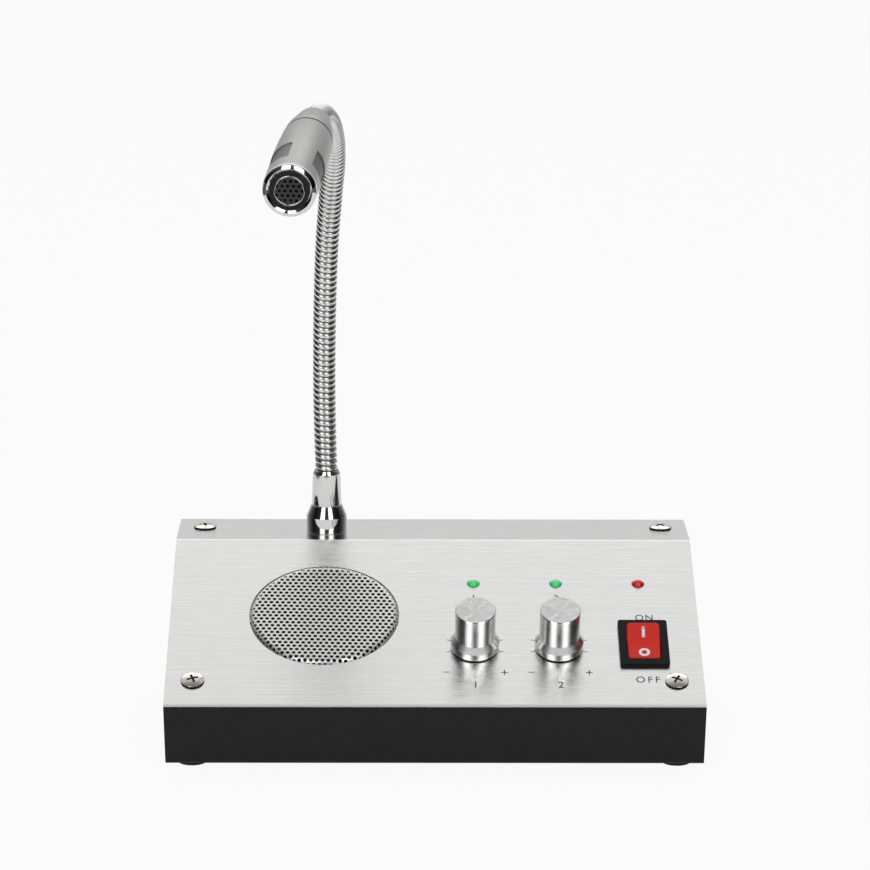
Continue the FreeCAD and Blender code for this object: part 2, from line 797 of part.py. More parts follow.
def make_lamp(x):
    """Indicator lamp: domed lens through the panel, flange and two legs down to the control board."""
    outline = [(0.0, lamp_rise)] + corner_points(0.0, lamp_rise - lamp_radius, lamp_radius)
    outline += [(lamp_radius, panel_back), (lamp_flange_radius, panel_back),
                (lamp_flange_radius, panel_back - lamp_flange_height), (0.0, panel_back - lamp_flange_height)]
    shape = turned(outline)
    for side in (-1, 1):
        leg = rod(lamp_lead_radius, control_board_face(), panel_back, side * lamp_lead_spacing / 2)
        shape = shape.fuse(leg)
    return on_slope(shape, x, lamp_up_slope)


def make_control_board():
    """Circuit board behind the controls, notched round the rocker switch."""
    face = control_board_face()
    board = block(Vector(control_board_left, control_board_low, face - board_thickness),
                  Vector(control_board_right, control_board_high, face))
    left = switch_x - switch_body_width / 2 - board_to_switch_gap
    high = switch_up_slope + switch_body_length / 2 + board_to_switch_gap
    notch = block(Vector(left, control_board_low - overrun, face - board_thickness - overrun),
                  Vector(control_board_right + overrun, high, face + overrun))
    return on_slope(board.cut(notch))


def make_rocker_housing():
    """Frame and body of the rocker switch, open in front for the rocker."""
    half_x = bezel_width / 2
    half_y = bezel_length / 2
    frame = block(Vector(-half_x, -half_y, 0.0), Vector(half_x, half_y, bezel_height))
    frame = frame.makeFillet(bezel_corner_radius, edges_along(frame, Vector(0.0, 0.0, 1.0), lambda middle: True))
    body = block(Vector(-switch_body_width / 2, -switch_body_length / 2, -switch_body_depth),
                 Vector(switch_body_width / 2, switch_body_length / 2, 0.0))
    pocket = block(Vector(-bezel_opening_width / 2, -bezel_opening_length / 2, -switch_pocket_depth),
                   Vector(bezel_opening_width / 2, bezel_opening_length / 2, bezel_height + overrun))
    reach = rocker_width / 2 + trunnion_length + loose_gap
    socket = Part.makeCylinder(trunnion_radius + running_gap, 2 * reach,
                               Vector(-reach, 0.0, rocker_pivot_rise), Vector(1.0, 0.0, 0.0))
    shape = frame.fuse(body).removeSplitter().cut(pocket).cut(socket)
    return on_slope(shape, switch_x, switch_up_slope)


def make_rocker():
    """Rocker with two faces that meet in a shallow V, ends that are round about its pivot, and trunnions."""
    rise = rocker_half_length * math.tan(math.radians(rocker_face_angle))
    crest = rocker_rise + rise
    radius = math.hypot(rocker_half_length, crest)
    low_y = math.sqrt(radius ** 2 - rocker_drop ** 2)
    half = rocker_width / 2

    def at(y, z):
        return Vector(-half, y, z)

    edges = [
        Part.LineSegment(at(-rocker_half_length, crest), at(0.0, rocker_rise)),
        Part.LineSegment(at(0.0, rocker_rise), at(rocker_half_length, crest)),
        Part.Arc(at(rocker_half_length, crest), at(radius, 0.0), at(low_y, -rocker_drop)),
        Part.LineSegment(at(low_y, -rocker_drop), at(-low_y, -rocker_drop)),
        Part.Arc(at(-low_y, -rocker_drop), at(-radius, 0.0), at(-rocker_half_length, crest)),
    ]
    face = Part.Face(Part.Wire([edge.toShape() for edge in edges]))
    shape = face.extrude(Vector(rocker_width, 0.0, 0.0))
    shape = shape.makeFillet(rocker_edge_radius, [edge for edge in shape.Edges
                                                  if edge.CenterOfMass.z > rocker_rise / 2
                                                  and abs(edge.CenterOfMass.x) > half - seat_gap
                                                  and edge.Curve.TypeId == "Part::GeomLine"])
    reach = half + trunnion_length
    trunnion = Part.makeCylinder(trunnion_radius, 2 * reach, Vector(-reach, 0.0, 0.0), Vector(1.0, 0.0, 0.0))
    shape = shape.fuse(trunnion)
    shape = placed(shape, Vector(0.0, 0.0, rocker_pivot_rise),
                   Rotation(Vector(1.0, 0.0, 0.0), rocker_throw / 2))
    return on_slope(shape, switch_x, switch_up_slope)


def make_rocker_terminals():
    """Three flat tabs under the switch body."""
    half = Vector(terminal_width / 2, terminal_thickness / 2, 0.0)
    tabs = []
    for step in (-1, 0, 1):
        tab = block(Vector(-half.x, -half.y, -switch_body_depth - terminal_length),
                    Vector(half.x, half.y, -switch_body_depth))
        tabs.append(on_slope(placed(tab, Vector(0.0, step * terminal_pitch, 0.0)), switch_x, switch_up_slope))
    return Part.makeCompound(tabs)


def ferrule_base():
    """Height of the ferrule's seat on the collar, above the strip."""
    return collar_height + collar_cone_height


def make_neck_collar():
    """Collar on the strip: barrel, cone and a threaded stem through the panel."""
    outline = [(wire_radius, -stem_length), (stem_radius, -stem_length), (stem_radius, 0.0),
               (collar_radius - collar_edge, 0.0), (collar_radius, collar_edge),
               (collar_radius, collar_height - collar_edge), (collar_radius - collar_edge, collar_height),
               (ferrule_radius, ferrule_base()), (wire_radius, ferrule_base())]
    return on_strip(turned(outline), neck_x, neck_behind_bend)


def make_neck_ferrule():
    """Tapered ferrule that grips the foot of the bending tube."""
    low = ferrule_base()
    high = low + ferrule_height
    taper = ferrule_top_radius + (ferrule_radius - ferrule_top_radius) * ferrule_chamfer_height / ferrule_height
    seat = rib_radius + tube_clearance
    floor = high - stub_insertion - loose_gap
    outline = [(wire_radius, low), (ferrule_radius, low), (taper, high - ferrule_chamfer_height),
               (ferrule_top_radius - ferrule_chamfer_share * ferrule_wall, high), (seat, high), (seat, floor),
               (wire_radius, floor)]
    return on_strip(turned(outline), neck_x, neck_behind_bend)


def make_neck_lock_nut():
    """Nut on the collar's stem, under the panel."""
    high = panel_back - lock_washer_thickness
    nut = hexagon(lock_nut_across_flats, high - lock_nut_height, high)
    return on_strip(nut.cut(rod(stem_radius, high - lock_nut_height, high)), neck_x, neck_behind_bend)


def make_neck_washer():
    """Wide washer that spreads the load of the gooseneck under the panel."""
    low = panel_back - lock_washer_thickness
    washer = rod(lock_washer_radius, low, panel_back).cut(rod(stem_radius + loose_gap, low, panel_back))
    return on_strip(washer, neck_x, neck_behind_bend)


def bend_places():
    """Distances along the tube, from the ferrule's top, of its bends: the middles of the gaps."""
    first = stub_ribs * rib_pitch + bend_gap / 2
    return [first + i * (ribs_per_link * rib_pitch + bend_gap) for i in range(link_count + 1)]


def neck_length():
    """Length of the tube that shows, from the ferrule to the microphone."""
    return bend_places()[-1] + bend_gap / 2 + stub_ribs * rib_pitch


def neck_angles(distance):
    """Tilt and lean of the tube at a distance from the ferrule."""
    stations = [0.0] + bend_places() + [neck_length()]
    if distance < 0.0:
        return 0.0, 0.0
    for i in range(len(stations) - 1):
        if distance <= stations[i + 1]:
            share = (distance - stations[i]) / (stations[i + 1] - stations[i])
            tilt = tilt_degrees[i] + share * (tilt_degrees[i + 1] - tilt_degrees[i])
            return tilt, lean_degrees[i] + share * (lean_degrees[i + 1] - lean_degrees[i])
    return tilt_degrees[-1], lean_degrees[-1]


def neck_turn(distance):
    """Orientation of the tube: its Z runs along the tube and its X stays level with the panel's X."""
    tilt, lean = neck_angles(distance)
    return Rotation(Vector(1.0, 0.0, 0.0), tilt).multiply(Rotation(Vector(0.0, 1.0, 0.0), lean))


def neck_frame(distance):
    """Placement of the tube's section at a distance from the ferrule, found by adding short steps."""
    point = Vector(neck_x, bend_y + neck_behind_bend, top_height + ferrule_base() + ferrule_height)
    steps = 48
    for i in range(steps):
        middle = distance * (i + 0.5) / steps
        point = point + neck_turn(middle).multVec(Vector(0.0, 0.0, distance / steps))
    return Placement(point, neck_turn(distance))


def ring_wire(radius, distance):
    """A circle round the tube, its seam on the steady X axis."""
    wire = Part.Wire(Part.makeCircle(radius))
    wire.Placement = neck_frame(distance)
    return wire


def rib_stations(start, count):
    """Four circles for each rib: up its flank, along its crest and down again."""
    stations = [(start, groove_radius)]
    flank = rib_flank_share * rib_pitch
    for i in range(count):
        low = start + i * rib_pitch
        stations += [(low + flank, rib_radius), (low + rib_pitch - flank, rib_radius),
                     (low + rib_pitch, groove_radius)]
    return stations


def ribbed_tube(stations):
    """A ribbed length of tube with its bore."""
    shape = Part.makeLoft([ring_wire(radius, distance) for distance, radius in stations], True, True)
    start = stations[0][0] - overrun
    end = stations[-1][0] + overrun
    spans = [start + (end - start) * i / bore_spans for i in range(bore_spans + 1)]
    return shape.cut(Part.makeLoft([ring_wire(bore_radius, distance) for distance in spans], True, True))


def make_neck_root():
    """Foot of the tube, held in the ferrule."""
    flank = rib_flank_share * rib_pitch
    held = [(-stub_insertion, rib_radius), (-flank, rib_radius)]
    return ribbed_tube(held + rib_stations(0.0, stub_ribs))


def make_neck_link(index):
    """One bending length of the tube between two gaps."""
    start = bend_places()[index] + bend_gap / 2
    return ribbed_tube(rib_stations(start, ribs_per_link))


def make_neck_tip():
    """Top of the tube, held in the microphone's rear cone."""
    end = neck_length()
    flank = rib_flank_share * rib_pitch
    held = [(end + flank, rib_radius), (end + stub_insertion, rib_radius)]
    return ribbed_tube(rib_stations(end - stub_ribs * rib_pitch, stub_ribs) + held)


def on_mic(shape):
    """Stand a shape on the microphone's axis: its Z runs from the rear rim to the face, its Y is up."""
    frame = neck_frame(neck_length())
    return placed(shape, frame.Base, frame.Rotation)


def make_mic_rear_cone():
    """Rear cone of the microphone, with the tube's socket behind and a spigot in front."""
    seat = rib_radius + tube_clearance
    floor = stub_insertion + loose_gap
    spigot = mic_inner_radius - seat_gap
    outline = [(seat, 0.0), (mic_rear_radius - collar_edge, 0.0), (mic_rear_radius, collar_edge),
               (mic_shoulder_radius, mic_shoulder_at),
               (mic_seam_radius, mic_seam_at - mic_seam_groove),
               (mic_seam_radius - mic_seam_groove, mic_seam_at),
               (spigot, mic_seam_at), (spigot, mic_seam_at + spigot_length),
               (wire_radius, mic_seam_at + spigot_length), (wire_radius, floor), (seat, floor)]
    return on_mic(turned(outline))


def make_mic_body():
    """Barrel of the microphone: a slightly bellied tube with three vents in its side."""
    front = mic_length - mic_ring_length
    inner = mic_inner_radius
    belly = (mic_seam_radius + belly_share * (mic_belly_radius - mic_seam_radius),
             (mic_seam_at + mic_belly_at) / 2)
    outline = [(inner, mic_seam_at), (mic_seam_radius - mic_seam_groove, mic_seam_at),
               (mic_seam_radius, mic_seam_at + mic_seam_groove), belly, (mic_belly_radius, mic_belly_at),
               (mic_neck_radius, front), (inner, front)]
    shape = turned(outline)
    low = inner - overrun
    high = mic_belly_radius + overrun
    corners = [Vector(low, 0.0, vent_start), Vector(high, 0.0, vent_start),
               Vector(high, 0.0, vent_start + vent_length), Vector(low, 0.0, vent_start + vent_length)]
    flat = Part.Face(Part.makePolygon(corners + corners[:1]))
    sector = flat.revolve(Vector(0.0, 0.0, 0.0), Vector(0.0, 0.0, 1.0), vent_angle)
    vents = []
    for i in range(vent_count):
        middle = vent_turn + 360.0 * i / vent_count
        vents.append(placed(sector, Vector(), Rotation(Vector(0.0, 0.0, 1.0), middle - vent_angle / 2)))
    return on_mic(shape.cut(Part.makeCompound(vents)))


def make_mic_screen():
    """Woven screen behind the vents."""
    outer = mic_inner_radius - seat_gap
    low = vent_start - screen_lap
    high = vent_start + vent_length + screen_lap
    return on_mic(rod(outer, low, high).cut(rod(outer - screen_thickness, low, high)))


def make_mic_front_ring():
    """Bright ring round the microphone's face."""
    low = mic_length - mic_ring_length
    inner = mic_ring_inner_radius
    outline = [(inner, low), (mic_neck_radius, low), (mic_neck_radius, mic_length - mic_ring_length / 2),
               (mic_ring_radius, mic_length - mic_ring_length / 6),
               (mic_ring_radius - mic_ring_length / 6, mic_length), (inner, mic_length)]
    return on_mic(turned(outline))


def make_mic_face():
    """Dark ring between the bright ring and the small grille."""
    high = mic_length - mic_face_recess
    outer = mic_ring_inner_radius - seat_gap
    inner = mic_grille_radius + seat_gap
    ring = rod(outer, high - mic_face_thickness, high).cut(rod(inner, high - mic_face_thickness, high))
    return on_mic(ring)


def make_mic_grille():
    """Small perforated disc in the middle of the face."""
    high = mic_length - mic_face_recess
    disc = rod(mic_grille_radius, high - mic_grille_thickness, high)
    limit = mic_hole_rings * mic_hole_pitch + seat_gap
    holes = [hexagon(mic_hole_width, high - mic_grille_thickness - overrun, high + overrun, x, y)
             for x, y in hole_grid(mic_hole_pitch, limit)]
    return on_mic(disc.cut(Part.makeCompound(holes)))


def capsule_front():
    """Height of the capsule's front face on the microphone's axis."""
    return mic_length - mic_face_recess - mic_face_thickness


def make_mic_capsule():
    """Electret capsule behind the face."""
    return on_mic(rod(capsule_radius, capsule_front() - capsule_length, capsule_front()))


def make_mic_boot():
    """Rubber boot that centres the capsule in the barrel."""
    low = capsule_front() - boot_length
    outer = mic_ring_inner_radius - seat_gap
    ring = rod(outer, low, capsule_front()).cut(rod(capsule_radius, low, capsule_front()))
    return on_mic(ring)


def make_amp_board():
    """Amplifier board on its standoffs."""
    low = amp_board_top() - board_thickness
    back = amp_board_back
    board = block(Vector(amp_board_x - amp_board_width / 2, back - amp_board_depth, low),
                  Vector(amp_board_x + amp_board_width / 2, back, amp_board_top()))
    holes = [rod(amp_screw_radius + loose_gap, low - overrun, amp_board_top() + overrun, x, y)
             for x, y in amp_board_corners()]
    return board.cut(Part.makeCompound(holes))


def make_board_screws():
    """Screws that hold the amplifier board."""
    top = amp_board_top()
    shape = rod(amp_screw_radius, top - amp_screw_length, top)
    shape = shape.fuse(rod(amp_screw_head_radius, top, top + amp_screw_head_height)).removeSplitter()
    return Part.makeCompound([placed(shape, Vector(x, y, 0.0)) for x, y in amp_board_corners()])


def make_amp_chip():
    """Power amplifier chip, upright on the board."""
    half = Vector(chip_width / 2, chip_depth / 2, 0.0)
    return block(Vector(chip_x - half.x, chip_y - half.y, amp_board_top()),
                 Vector(chip_x + half.x, chip_y + half.y, amp_board_top() + chip_height))


def make_heat_sink():
    """Finned heat sink against the back of the chip."""
    low = amp_board_top()
    front = chip_y + chip_depth / 2
    left = chip_x - sink_width / 2
    shape = block(Vector(left, front, low), Vector(left + sink_width, front + sink_base, low + sink_height))
    pitch = (sink_width - sink_fin_thickness) / (sink_fin_count - 1)
    for i in range(sink_fin_count):
        x = left + i * pitch
        shape = shape.fuse(block(Vector(x, front, low),
                                 Vector(x + sink_fin_thickness, front + sink_base + sink_fin_depth,
                                        low + sink_height)))
    return shape.removeSplitter()


def make_capacitors():
    """Row of upright capacitors on the board."""
    low = amp_board_top()
    cans = []
    for i, (width_share, height_share) in enumerate(capacitor_shares):
        cans.append(rod(width_share * capacitor_radius, low, low + height_share * capacitor_height,
                        capacitor_x + i * capacitor_pitch, capacitor_y))
    return Part.makeCompound(cans)


def make_jack(x):
    """Round socket for a small plug: body on the board and a nose through the rear wall."""
    wall = back_y - case_draft - case_wall
    low = amp_board_top()
    outside = back_y - case_draft
    body = block(Vector(x - jack_body_width / 2, wall - jack_body_depth, low),
                 Vector(x + jack_body_width / 2, wall, low + jack_body_height))
    axis = Vector(0.0, 1.0, 0.0)
    middle = low + socket_rise
    nose = Part.makeCylinder(jack_nose_radius, outside - wall, Vector(x, wall, middle), axis)
    bore = Part.makeCylinder(jack_bore_radius, jack_body_depth + outside - wall,
                             Vector(x, wall - jack_body_depth + overrun, middle), axis)
    return body.fuse(nose).cut(bore)


def make_power_jack():
    """Body of the power socket, its face flush with the rear wall."""
    outside = back_y - case_draft
    low = amp_board_top()
    body = block(Vector(power_jack_x - power_jack_width / 2, outside - power_jack_depth, low),
                 Vector(power_jack_x + power_jack_width / 2, outside, low + power_jack_height))
    bore = Part.makeCylinder(power_bore_radius, power_bore_depth + overrun,
                             Vector(power_jack_x, outside - power_bore_depth, low + power_socket_rise),
                             Vector(0.0, 1.0, 0.0))
    return body.cut(bore)


def make_power_pin():
    """Centre pin of the power socket."""
    outside = back_y - case_draft
    return Part.makeCylinder(power_pin_radius, power_bore_depth - power_pin_recess,
                             Vector(power_jack_x, outside - power_bore_depth,
                                    amp_board_top() + power_socket_rise), Vector(0.0, 1.0, 0.0))


def all_nodes():
    """Every piece with its node's name."""
    nodes = {
        "lower_case": make_lower_case(),
        "top_panel": make_top_panel(),
        "panel_screws": make_panel_screws(),
        "rubber_feet": make_rubber_feet(),
        "foot_screws": make_foot_screws(),
        "speaker_grille": make_speaker_grille(),
        "speaker_gasket": make_speaker_gasket(),
        "speaker_basket": make_speaker_basket(),
        "speaker_surround": make_speaker_surround(),
        "speaker_cone": make_speaker_cone(),
        "speaker_dust_cap": make_speaker_dust_cap(),
        "speaker_magnet": make_speaker_magnet(),
        "panel_studs": make_panel_studs(),
        "speaker_nuts": make_speaker_nuts(),
        "pot_nuts": make_pot_nuts(),
        "control_board": make_control_board(),
        "rocker_housing": make_rocker_housing(),
        "rocker": make_rocker(),
        "rocker_terminals": make_rocker_terminals(),
        "neck_collar": make_neck_collar(),
        "neck_ferrule": make_neck_ferrule(),
        "neck_lock_nut": make_neck_lock_nut(),
        "neck_washer": make_neck_washer(),
        "neck_root": make_neck_root(),
        "neck_tip": make_neck_tip(),
        "mic_rear_cone": make_mic_rear_cone(),
        "mic_body": make_mic_body(),
        "mic_screen": make_mic_screen(),
        "mic_front_ring": make_mic_front_ring(),
        "mic_face": make_mic_face(),
        "mic_grille": make_mic_grille(),
        "mic_capsule": make_mic_capsule(),
        "mic_boot": make_mic_boot(),
        "amp_board": make_amp_board(),
        "board_screws": make_board_screws(),
        "amp_chip": make_amp_chip(),
        "heat_sink": make_heat_sink(),
        "capacitors": make_capacitors(),
        "window_jack": make_jack(window_jack_x),
        "recorder_jack": make_jack(recorder_jack_x),
        "power_jack": make_power_jack(),
        "power_pin": make_power_pin(),
    }
    for name, x in zip(("inside", "outside"), knob_columns):
        nodes[name + "_volume_knob"] = make_knob(x)
        nodes[name + "_volume_shaft"] = make_shaft(x)
        nodes[name + "_volume_pot"] = make_pot(x)
    for name, x in zip(("inside", "outside", "power"), lamp_columns):
        nodes[name + "_lamp"] = make_lamp(x)
    for index in range(link_count):
        nodes["neck_link_%d" % (index + 1)] = make_neck_link(index)
    return nodes


for node, solid in all_nodes().items():
    solid.exportStep("parts/" + node + ".step")
    print(node, len(solid.Solids), "solids", round(solid.Volume), "mm3", "valid" if solid.isValid() else "not valid")
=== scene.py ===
# %% [markdown]
# # A teller window intercom
# The CAD model arrives as a fixed frame: every piece at its real size, grouped in bodies that move.
# This lesson gives it its looks. Pieces whose CAD shape is right keep it and get a finish. Pieces that show
# fine detail, such as the ribbed gooseneck or the perforated grille, are built again here at full detail.

# %% Load the frame
import json
import math
import bmesh
import bpy
import numpy as np
from mathutils import Matrix, Vector

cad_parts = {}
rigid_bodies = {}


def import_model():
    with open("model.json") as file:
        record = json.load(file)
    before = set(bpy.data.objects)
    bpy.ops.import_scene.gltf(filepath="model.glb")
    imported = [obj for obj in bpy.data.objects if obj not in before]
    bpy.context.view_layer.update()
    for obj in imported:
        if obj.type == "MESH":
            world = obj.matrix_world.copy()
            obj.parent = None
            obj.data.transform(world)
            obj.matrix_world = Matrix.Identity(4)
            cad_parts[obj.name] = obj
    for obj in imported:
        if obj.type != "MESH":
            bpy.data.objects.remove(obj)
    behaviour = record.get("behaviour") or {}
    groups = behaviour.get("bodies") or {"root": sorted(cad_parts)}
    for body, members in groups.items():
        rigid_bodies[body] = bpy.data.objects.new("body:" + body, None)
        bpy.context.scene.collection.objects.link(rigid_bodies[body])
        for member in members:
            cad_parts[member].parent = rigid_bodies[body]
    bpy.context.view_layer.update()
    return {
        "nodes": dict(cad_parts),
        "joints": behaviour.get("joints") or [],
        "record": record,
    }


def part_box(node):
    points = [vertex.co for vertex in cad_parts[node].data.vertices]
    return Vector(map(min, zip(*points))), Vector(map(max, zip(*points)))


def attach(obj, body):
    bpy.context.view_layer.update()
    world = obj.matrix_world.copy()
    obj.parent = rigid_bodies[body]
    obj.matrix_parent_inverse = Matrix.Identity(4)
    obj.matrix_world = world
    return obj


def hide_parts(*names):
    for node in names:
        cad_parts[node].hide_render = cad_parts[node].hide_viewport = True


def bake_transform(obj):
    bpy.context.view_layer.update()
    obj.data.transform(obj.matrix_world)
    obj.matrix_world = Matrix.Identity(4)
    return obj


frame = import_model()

MM = 0.001
nodes = frame["nodes"]
joints = {joint["name"]: joint for joint in frame["joints"]}

# %% [markdown]
# ## The sloping panel as a drawing board
# Most controls stand on the sloping panel, so places are easiest to give as millimetres across it, up it and
# above it. The turning axis of a knob is square to the panel, and the panel's own box gives its front edge.
# One matrix turns such a place into the frame's coordinates.

# %% Coordinates on the panel
across = Vector((1.0, 0.0, 0.0))
square = -Vector(joints["inside_volume_turn"]["axis"])
up_slope = square.cross(across)
knob_foot = Vector(joints["inside_volume_turn"]["pos_m"])
front_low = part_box("top_panel")[0]
knob_up = (knob_foot.y - front_low.y) / up_slope.y
panel_origin = Vector((0.0, front_low.y, knob_foot.z - knob_up * up_slope.z))
panel_turn = Matrix((across, up_slope, square)).transposed().to_4x4()
panel = Matrix.Translation(panel_origin) @ panel_turn
from_panel = panel.inverted()


def on_panel(x, up, above=0.0):
    """Place on the panel, given in millimetres."""
    return panel @ Matrix.Translation(Vector((x, up, above)) * MM)


knob_places = [(from_panel @ Vector(joints[name + "_volume_turn"]["pos_m"])) / MM for name in ("inside", "outside")]
print("knobs at", [[round(value, 2) for value in place] for place in knob_places])

# %% [markdown]
# ## Wiring nodes from Python
# Materials and Geometry Nodes are both trees of nodes. A small class wraps one output socket and overloads the
# arithmetic operators, so that a formula is written as a formula. Every other node comes from one method that
# takes the node's type, its settings and what goes into its sockets.


# %% Values that can be added and multiplied
class Value:
    """One output of a node, with arithmetic."""

    def __init__(self, wiring, socket):
        self.wiring = wiring
        self.socket = socket


def operator(operation, swapped):
    """A method of Value that adds a math node."""
    def apply(value, other):
        first, second = (other, value) if swapped else (value, other)
        return value.wiring.function(operation, first, second)
    return apply


for sign, operation in (("add", "ADD"), ("sub", "SUBTRACT"), ("mul", "MULTIPLY"), ("truediv", "DIVIDE"),
                        ("pow", "POWER"), ("mod", "FLOORED_MODULO")):
    setattr(Value, "__%s__" % sign, operator(operation, False))
    setattr(Value, "__r%s__" % sign, operator(operation, True))


class Wiring:
    """A node tree that is filled by calls."""

    def __init__(self, tree):
        self.tree = tree

    def node(self, kind, inputs=None, output=0, stops=None, **settings):
        made = self.tree.nodes.new(kind)
        for name, value in settings.items():
            setattr(made, name, value)
        if stops:
            ends = made.color_ramp.elements
            ends[0].position, ends[0].color = stops[0]
            ends[1].position, ends[1].color = stops[-1]
            for position, color in stops[1:-1]:
                ends.new(position).color = color
        for key, value in (inputs or {}).items():
            if isinstance(value, Value):
                self.tree.links.new(value.socket, made.inputs[key])
            else:
                made.inputs[key].default_value = value
        return Value(self, made.outputs[output])

    def function(self, operation, first, second=0.0):
        return self.node("ShaderNodeMath", {0: first, 1: second}, operation=operation)

    def vector(self, operation, first, second=(0.0, 0.0, 0.0), output=0):
        return self.node("ShaderNodeVectorMath", {0: first, 1: second}, output, operation=operation)

    def scaled(self, vector, factor):
        return self.node("ShaderNodeVectorMath", {0: vector, "Scale": factor}, operation="SCALE")

    def around(self, value, middle, reach):
        """1 where a value lies within reach of a middle, and 0 elsewhere."""
        return self.node("ShaderNodeMath", {0: value, 1: middle, 2: reach}, operation="COMPARE")

    def join(self, x, y, z):
        return self.node("ShaderNodeCombineXYZ", {0: x, 1: y, 2: z})

    def split(self, vector):
        parts = self.node("ShaderNodeSeparateXYZ", {0: vector})
        return [Value(self, socket) for socket in parts.socket.node.outputs]

    def ray(self, kind):
        """1 for rays of a kind, such as Camera or Glossy."""
        return Value(self, self.tree.nodes.new("ShaderNodeLightPath").outputs["Is %s Ray" % kind])

    def mix(self, first, second, share):
        """Two colours mixed by a share."""
        made = self.tree.nodes.new("ShaderNodeMix")
        made.data_type = "RGBA"
        for index, value in ((0, share), (6, first), (7, second)):
            if isinstance(value, Value):
                self.tree.links.new(value.socket, made.inputs[index])
            else:
                made.inputs[index].default_value = value if index == 0 else (*value, 1.0)
        return Value(self, made.outputs[2])


# %% [markdown]
# ## A class for finishes
# Each finish starts from the Principled shader. Colour, roughness and relief are read from noise on the piece's
# own coordinates, so a pattern stays with its piece when it moves. Turned pieces carry a UV map that runs
# round the axis and along the outline, which lets the tool marks follow the turning.


# %% Finishes
class Finish(Wiring):
    """A material on the Principled shader."""

    def __init__(self, name, color, roughness, metallic=0.0, **sockets):
        self.material = bpy.data.materials.new(name)
        self.material.use_nodes = True
        super().__init__(self.material.node_tree)
        self.shader = self.tree.nodes["Principled BSDF"]
        self.material.diffuse_color = (*color, 1.0)
        self.put(Base_Color=(*color, 1.0), Roughness=roughness, Metallic=metallic, **sockets)

    def put(self, **sockets):
        for name, value in sockets.items():
            socket = self.shader.inputs[name.replace("_", " ")]
            if isinstance(value, Value):
                self.tree.links.new(value.socket, socket)
            else:
                socket.default_value = value

    def place(self, scale=(1.0, 1.0, 1.0), move=(0.0, 0.0, 0.0), turn=(0.0, 0.0, 0.0), uv=None):
        """Coordinates of the piece, or its UV map, moved, turned and scaled."""
        if uv:
            source = self.node("ShaderNodeUVMap", uv_map=uv)
        else:
            source = self.node("ShaderNodeTexCoord", output="Object")
        return self.node("ShaderNodeMapping", {"Vector": source, "Location": move, "Rotation": turn, "Scale": scale})

    def noise(self, place, scale=1.0, detail=2.0, roughness=0.5):
        return self.node("ShaderNodeTexNoise", {"Vector": place, "Scale": scale, "Detail": detail,
                                                "Roughness": roughness})

    def relief(self, height, distance, strength=1.0):
        """Bump by a height field."""
        self.put(Normal=self.node("ShaderNodeBump", {"Height": height, "Distance": distance, "Strength": strength}))

    def slow_change(self, size):
        """A soft variation over patches of about a size in millimetres."""
        return self.noise(self.place((1.0 / (size * MM),) * 3), detail=1.0)


finishes = {}


def metal(name, color, roughness, swing=0.06, grain=0.0):
    """Plain metal: roughness and colour wander a little, with an optional grain."""
    finish = Finish(name, color, roughness, 1.0)
    darker = tuple(value * (1.0 - swing) for value in color)
    fine = finish.noise(finish.place((900.0, 900.0, 900.0)), detail=3.0)
    wander = fine * 0.5 + finish.slow_change(9.0) * 0.5
    finish.put(Base_Color=finish.mix(darker, color, wander), Roughness=roughness - 0.025 + wander * 0.05)
    if grain:
        finish.relief(fine, grain * MM)
    finishes[name] = finish


def turned_metal(name, color, roughness, marks, count, swing=0.08, cut=None, bright=None, painted_shade_span=None):
    """Metal off a lathe: marks run round the axis, read from the piece's own turning map.

    Faces that were cut into the piece later have no turning map, so they can take a colour of their own: white in a
    knob's pointer, and painted shade in a screw's cross recess. A stretch of the outline can be polished bright, with
    finer marks beyond it, and another can take painted shade, near black.
    """
    finish = Finish(name, color, roughness, 1.0)
    rings = finish.noise(finish.place((3.0, count, 1.0), uv="turning"), detail=4.0, roughness=0.7)
    patches = finish.slow_change(5.0)
    along = finish.split(finish.node("ShaderNodeUVMap", uv_map="turning"))[1]
    darker = tuple(value * (1.0 - swing) for value in color)
    shade = finish.mix(darker, color, rings * 0.7 + patches * 0.3)
    gloss = roughness * 0.75 + rings * roughness * 0.5
    if bright:
        polished = finish.around(along, sum(bright) / 2, (bright[1] - bright[0]) / 2)
        gloss = gloss - polished * (roughness * 0.7)
        rings = rings * (1.0 - polished) * (1.0 - finish.function("GREATER_THAN", along, bright[0]) * 0.9)
    # Cut faces take their own colour: white in a knob's pointer, painted shade in a screw's cross recess.
    if cut:
        milled = finish.function("LESS_THAN", along, 0.0004)
        shade = finish.mix(shade, cut, milled)
        gloss = gloss + milled * 0.3
        finish.put(Metallic=1.0 - milled)
    # Painted shade: a stretch of the outline is made near black.
    if painted_shade_span:
        painted_shade_band = finish.around(along, sum(painted_shade_span) / 2, (painted_shade_span[1] - painted_shade_span[0]) / 2)
        shade = finish.mix(shade, (0.02, 0.02, 0.02), painted_shade_band)
        gloss = gloss + painted_shade_band * 0.4
    finish.put(Base_Color=shade, Roughness=gloss)
    if marks:
        finish.relief(rings, marks * MM)
    finishes[name] = finish


def wound_steel(name):
    """Polished wire wound to a tube: bright on its crests, with painted shade down between the turns."""
    finish = Finish(name, (0.8, 0.8, 0.79), 0.2, 1.0)
    crest = finish.node("ShaderNodeAttribute", output=2, attribute_name="crest")
    crest = finish.node("ShaderNodeMapRange", {0: crest, 1: 0.2, 2: 0.75})
    patches = finish.slow_change(6.0)
    # Painted shade: the colour falls to near black in the grooves between the turns, following the crest height.
    finish.put(Base_Color=finish.mix((0.12, 0.12, 0.12), (0.84, 0.84, 0.835), crest * 0.96 + patches * 0.04),
               Roughness=0.38 - crest * 0.18 + patches * 0.04)
    finishes[name] = finish


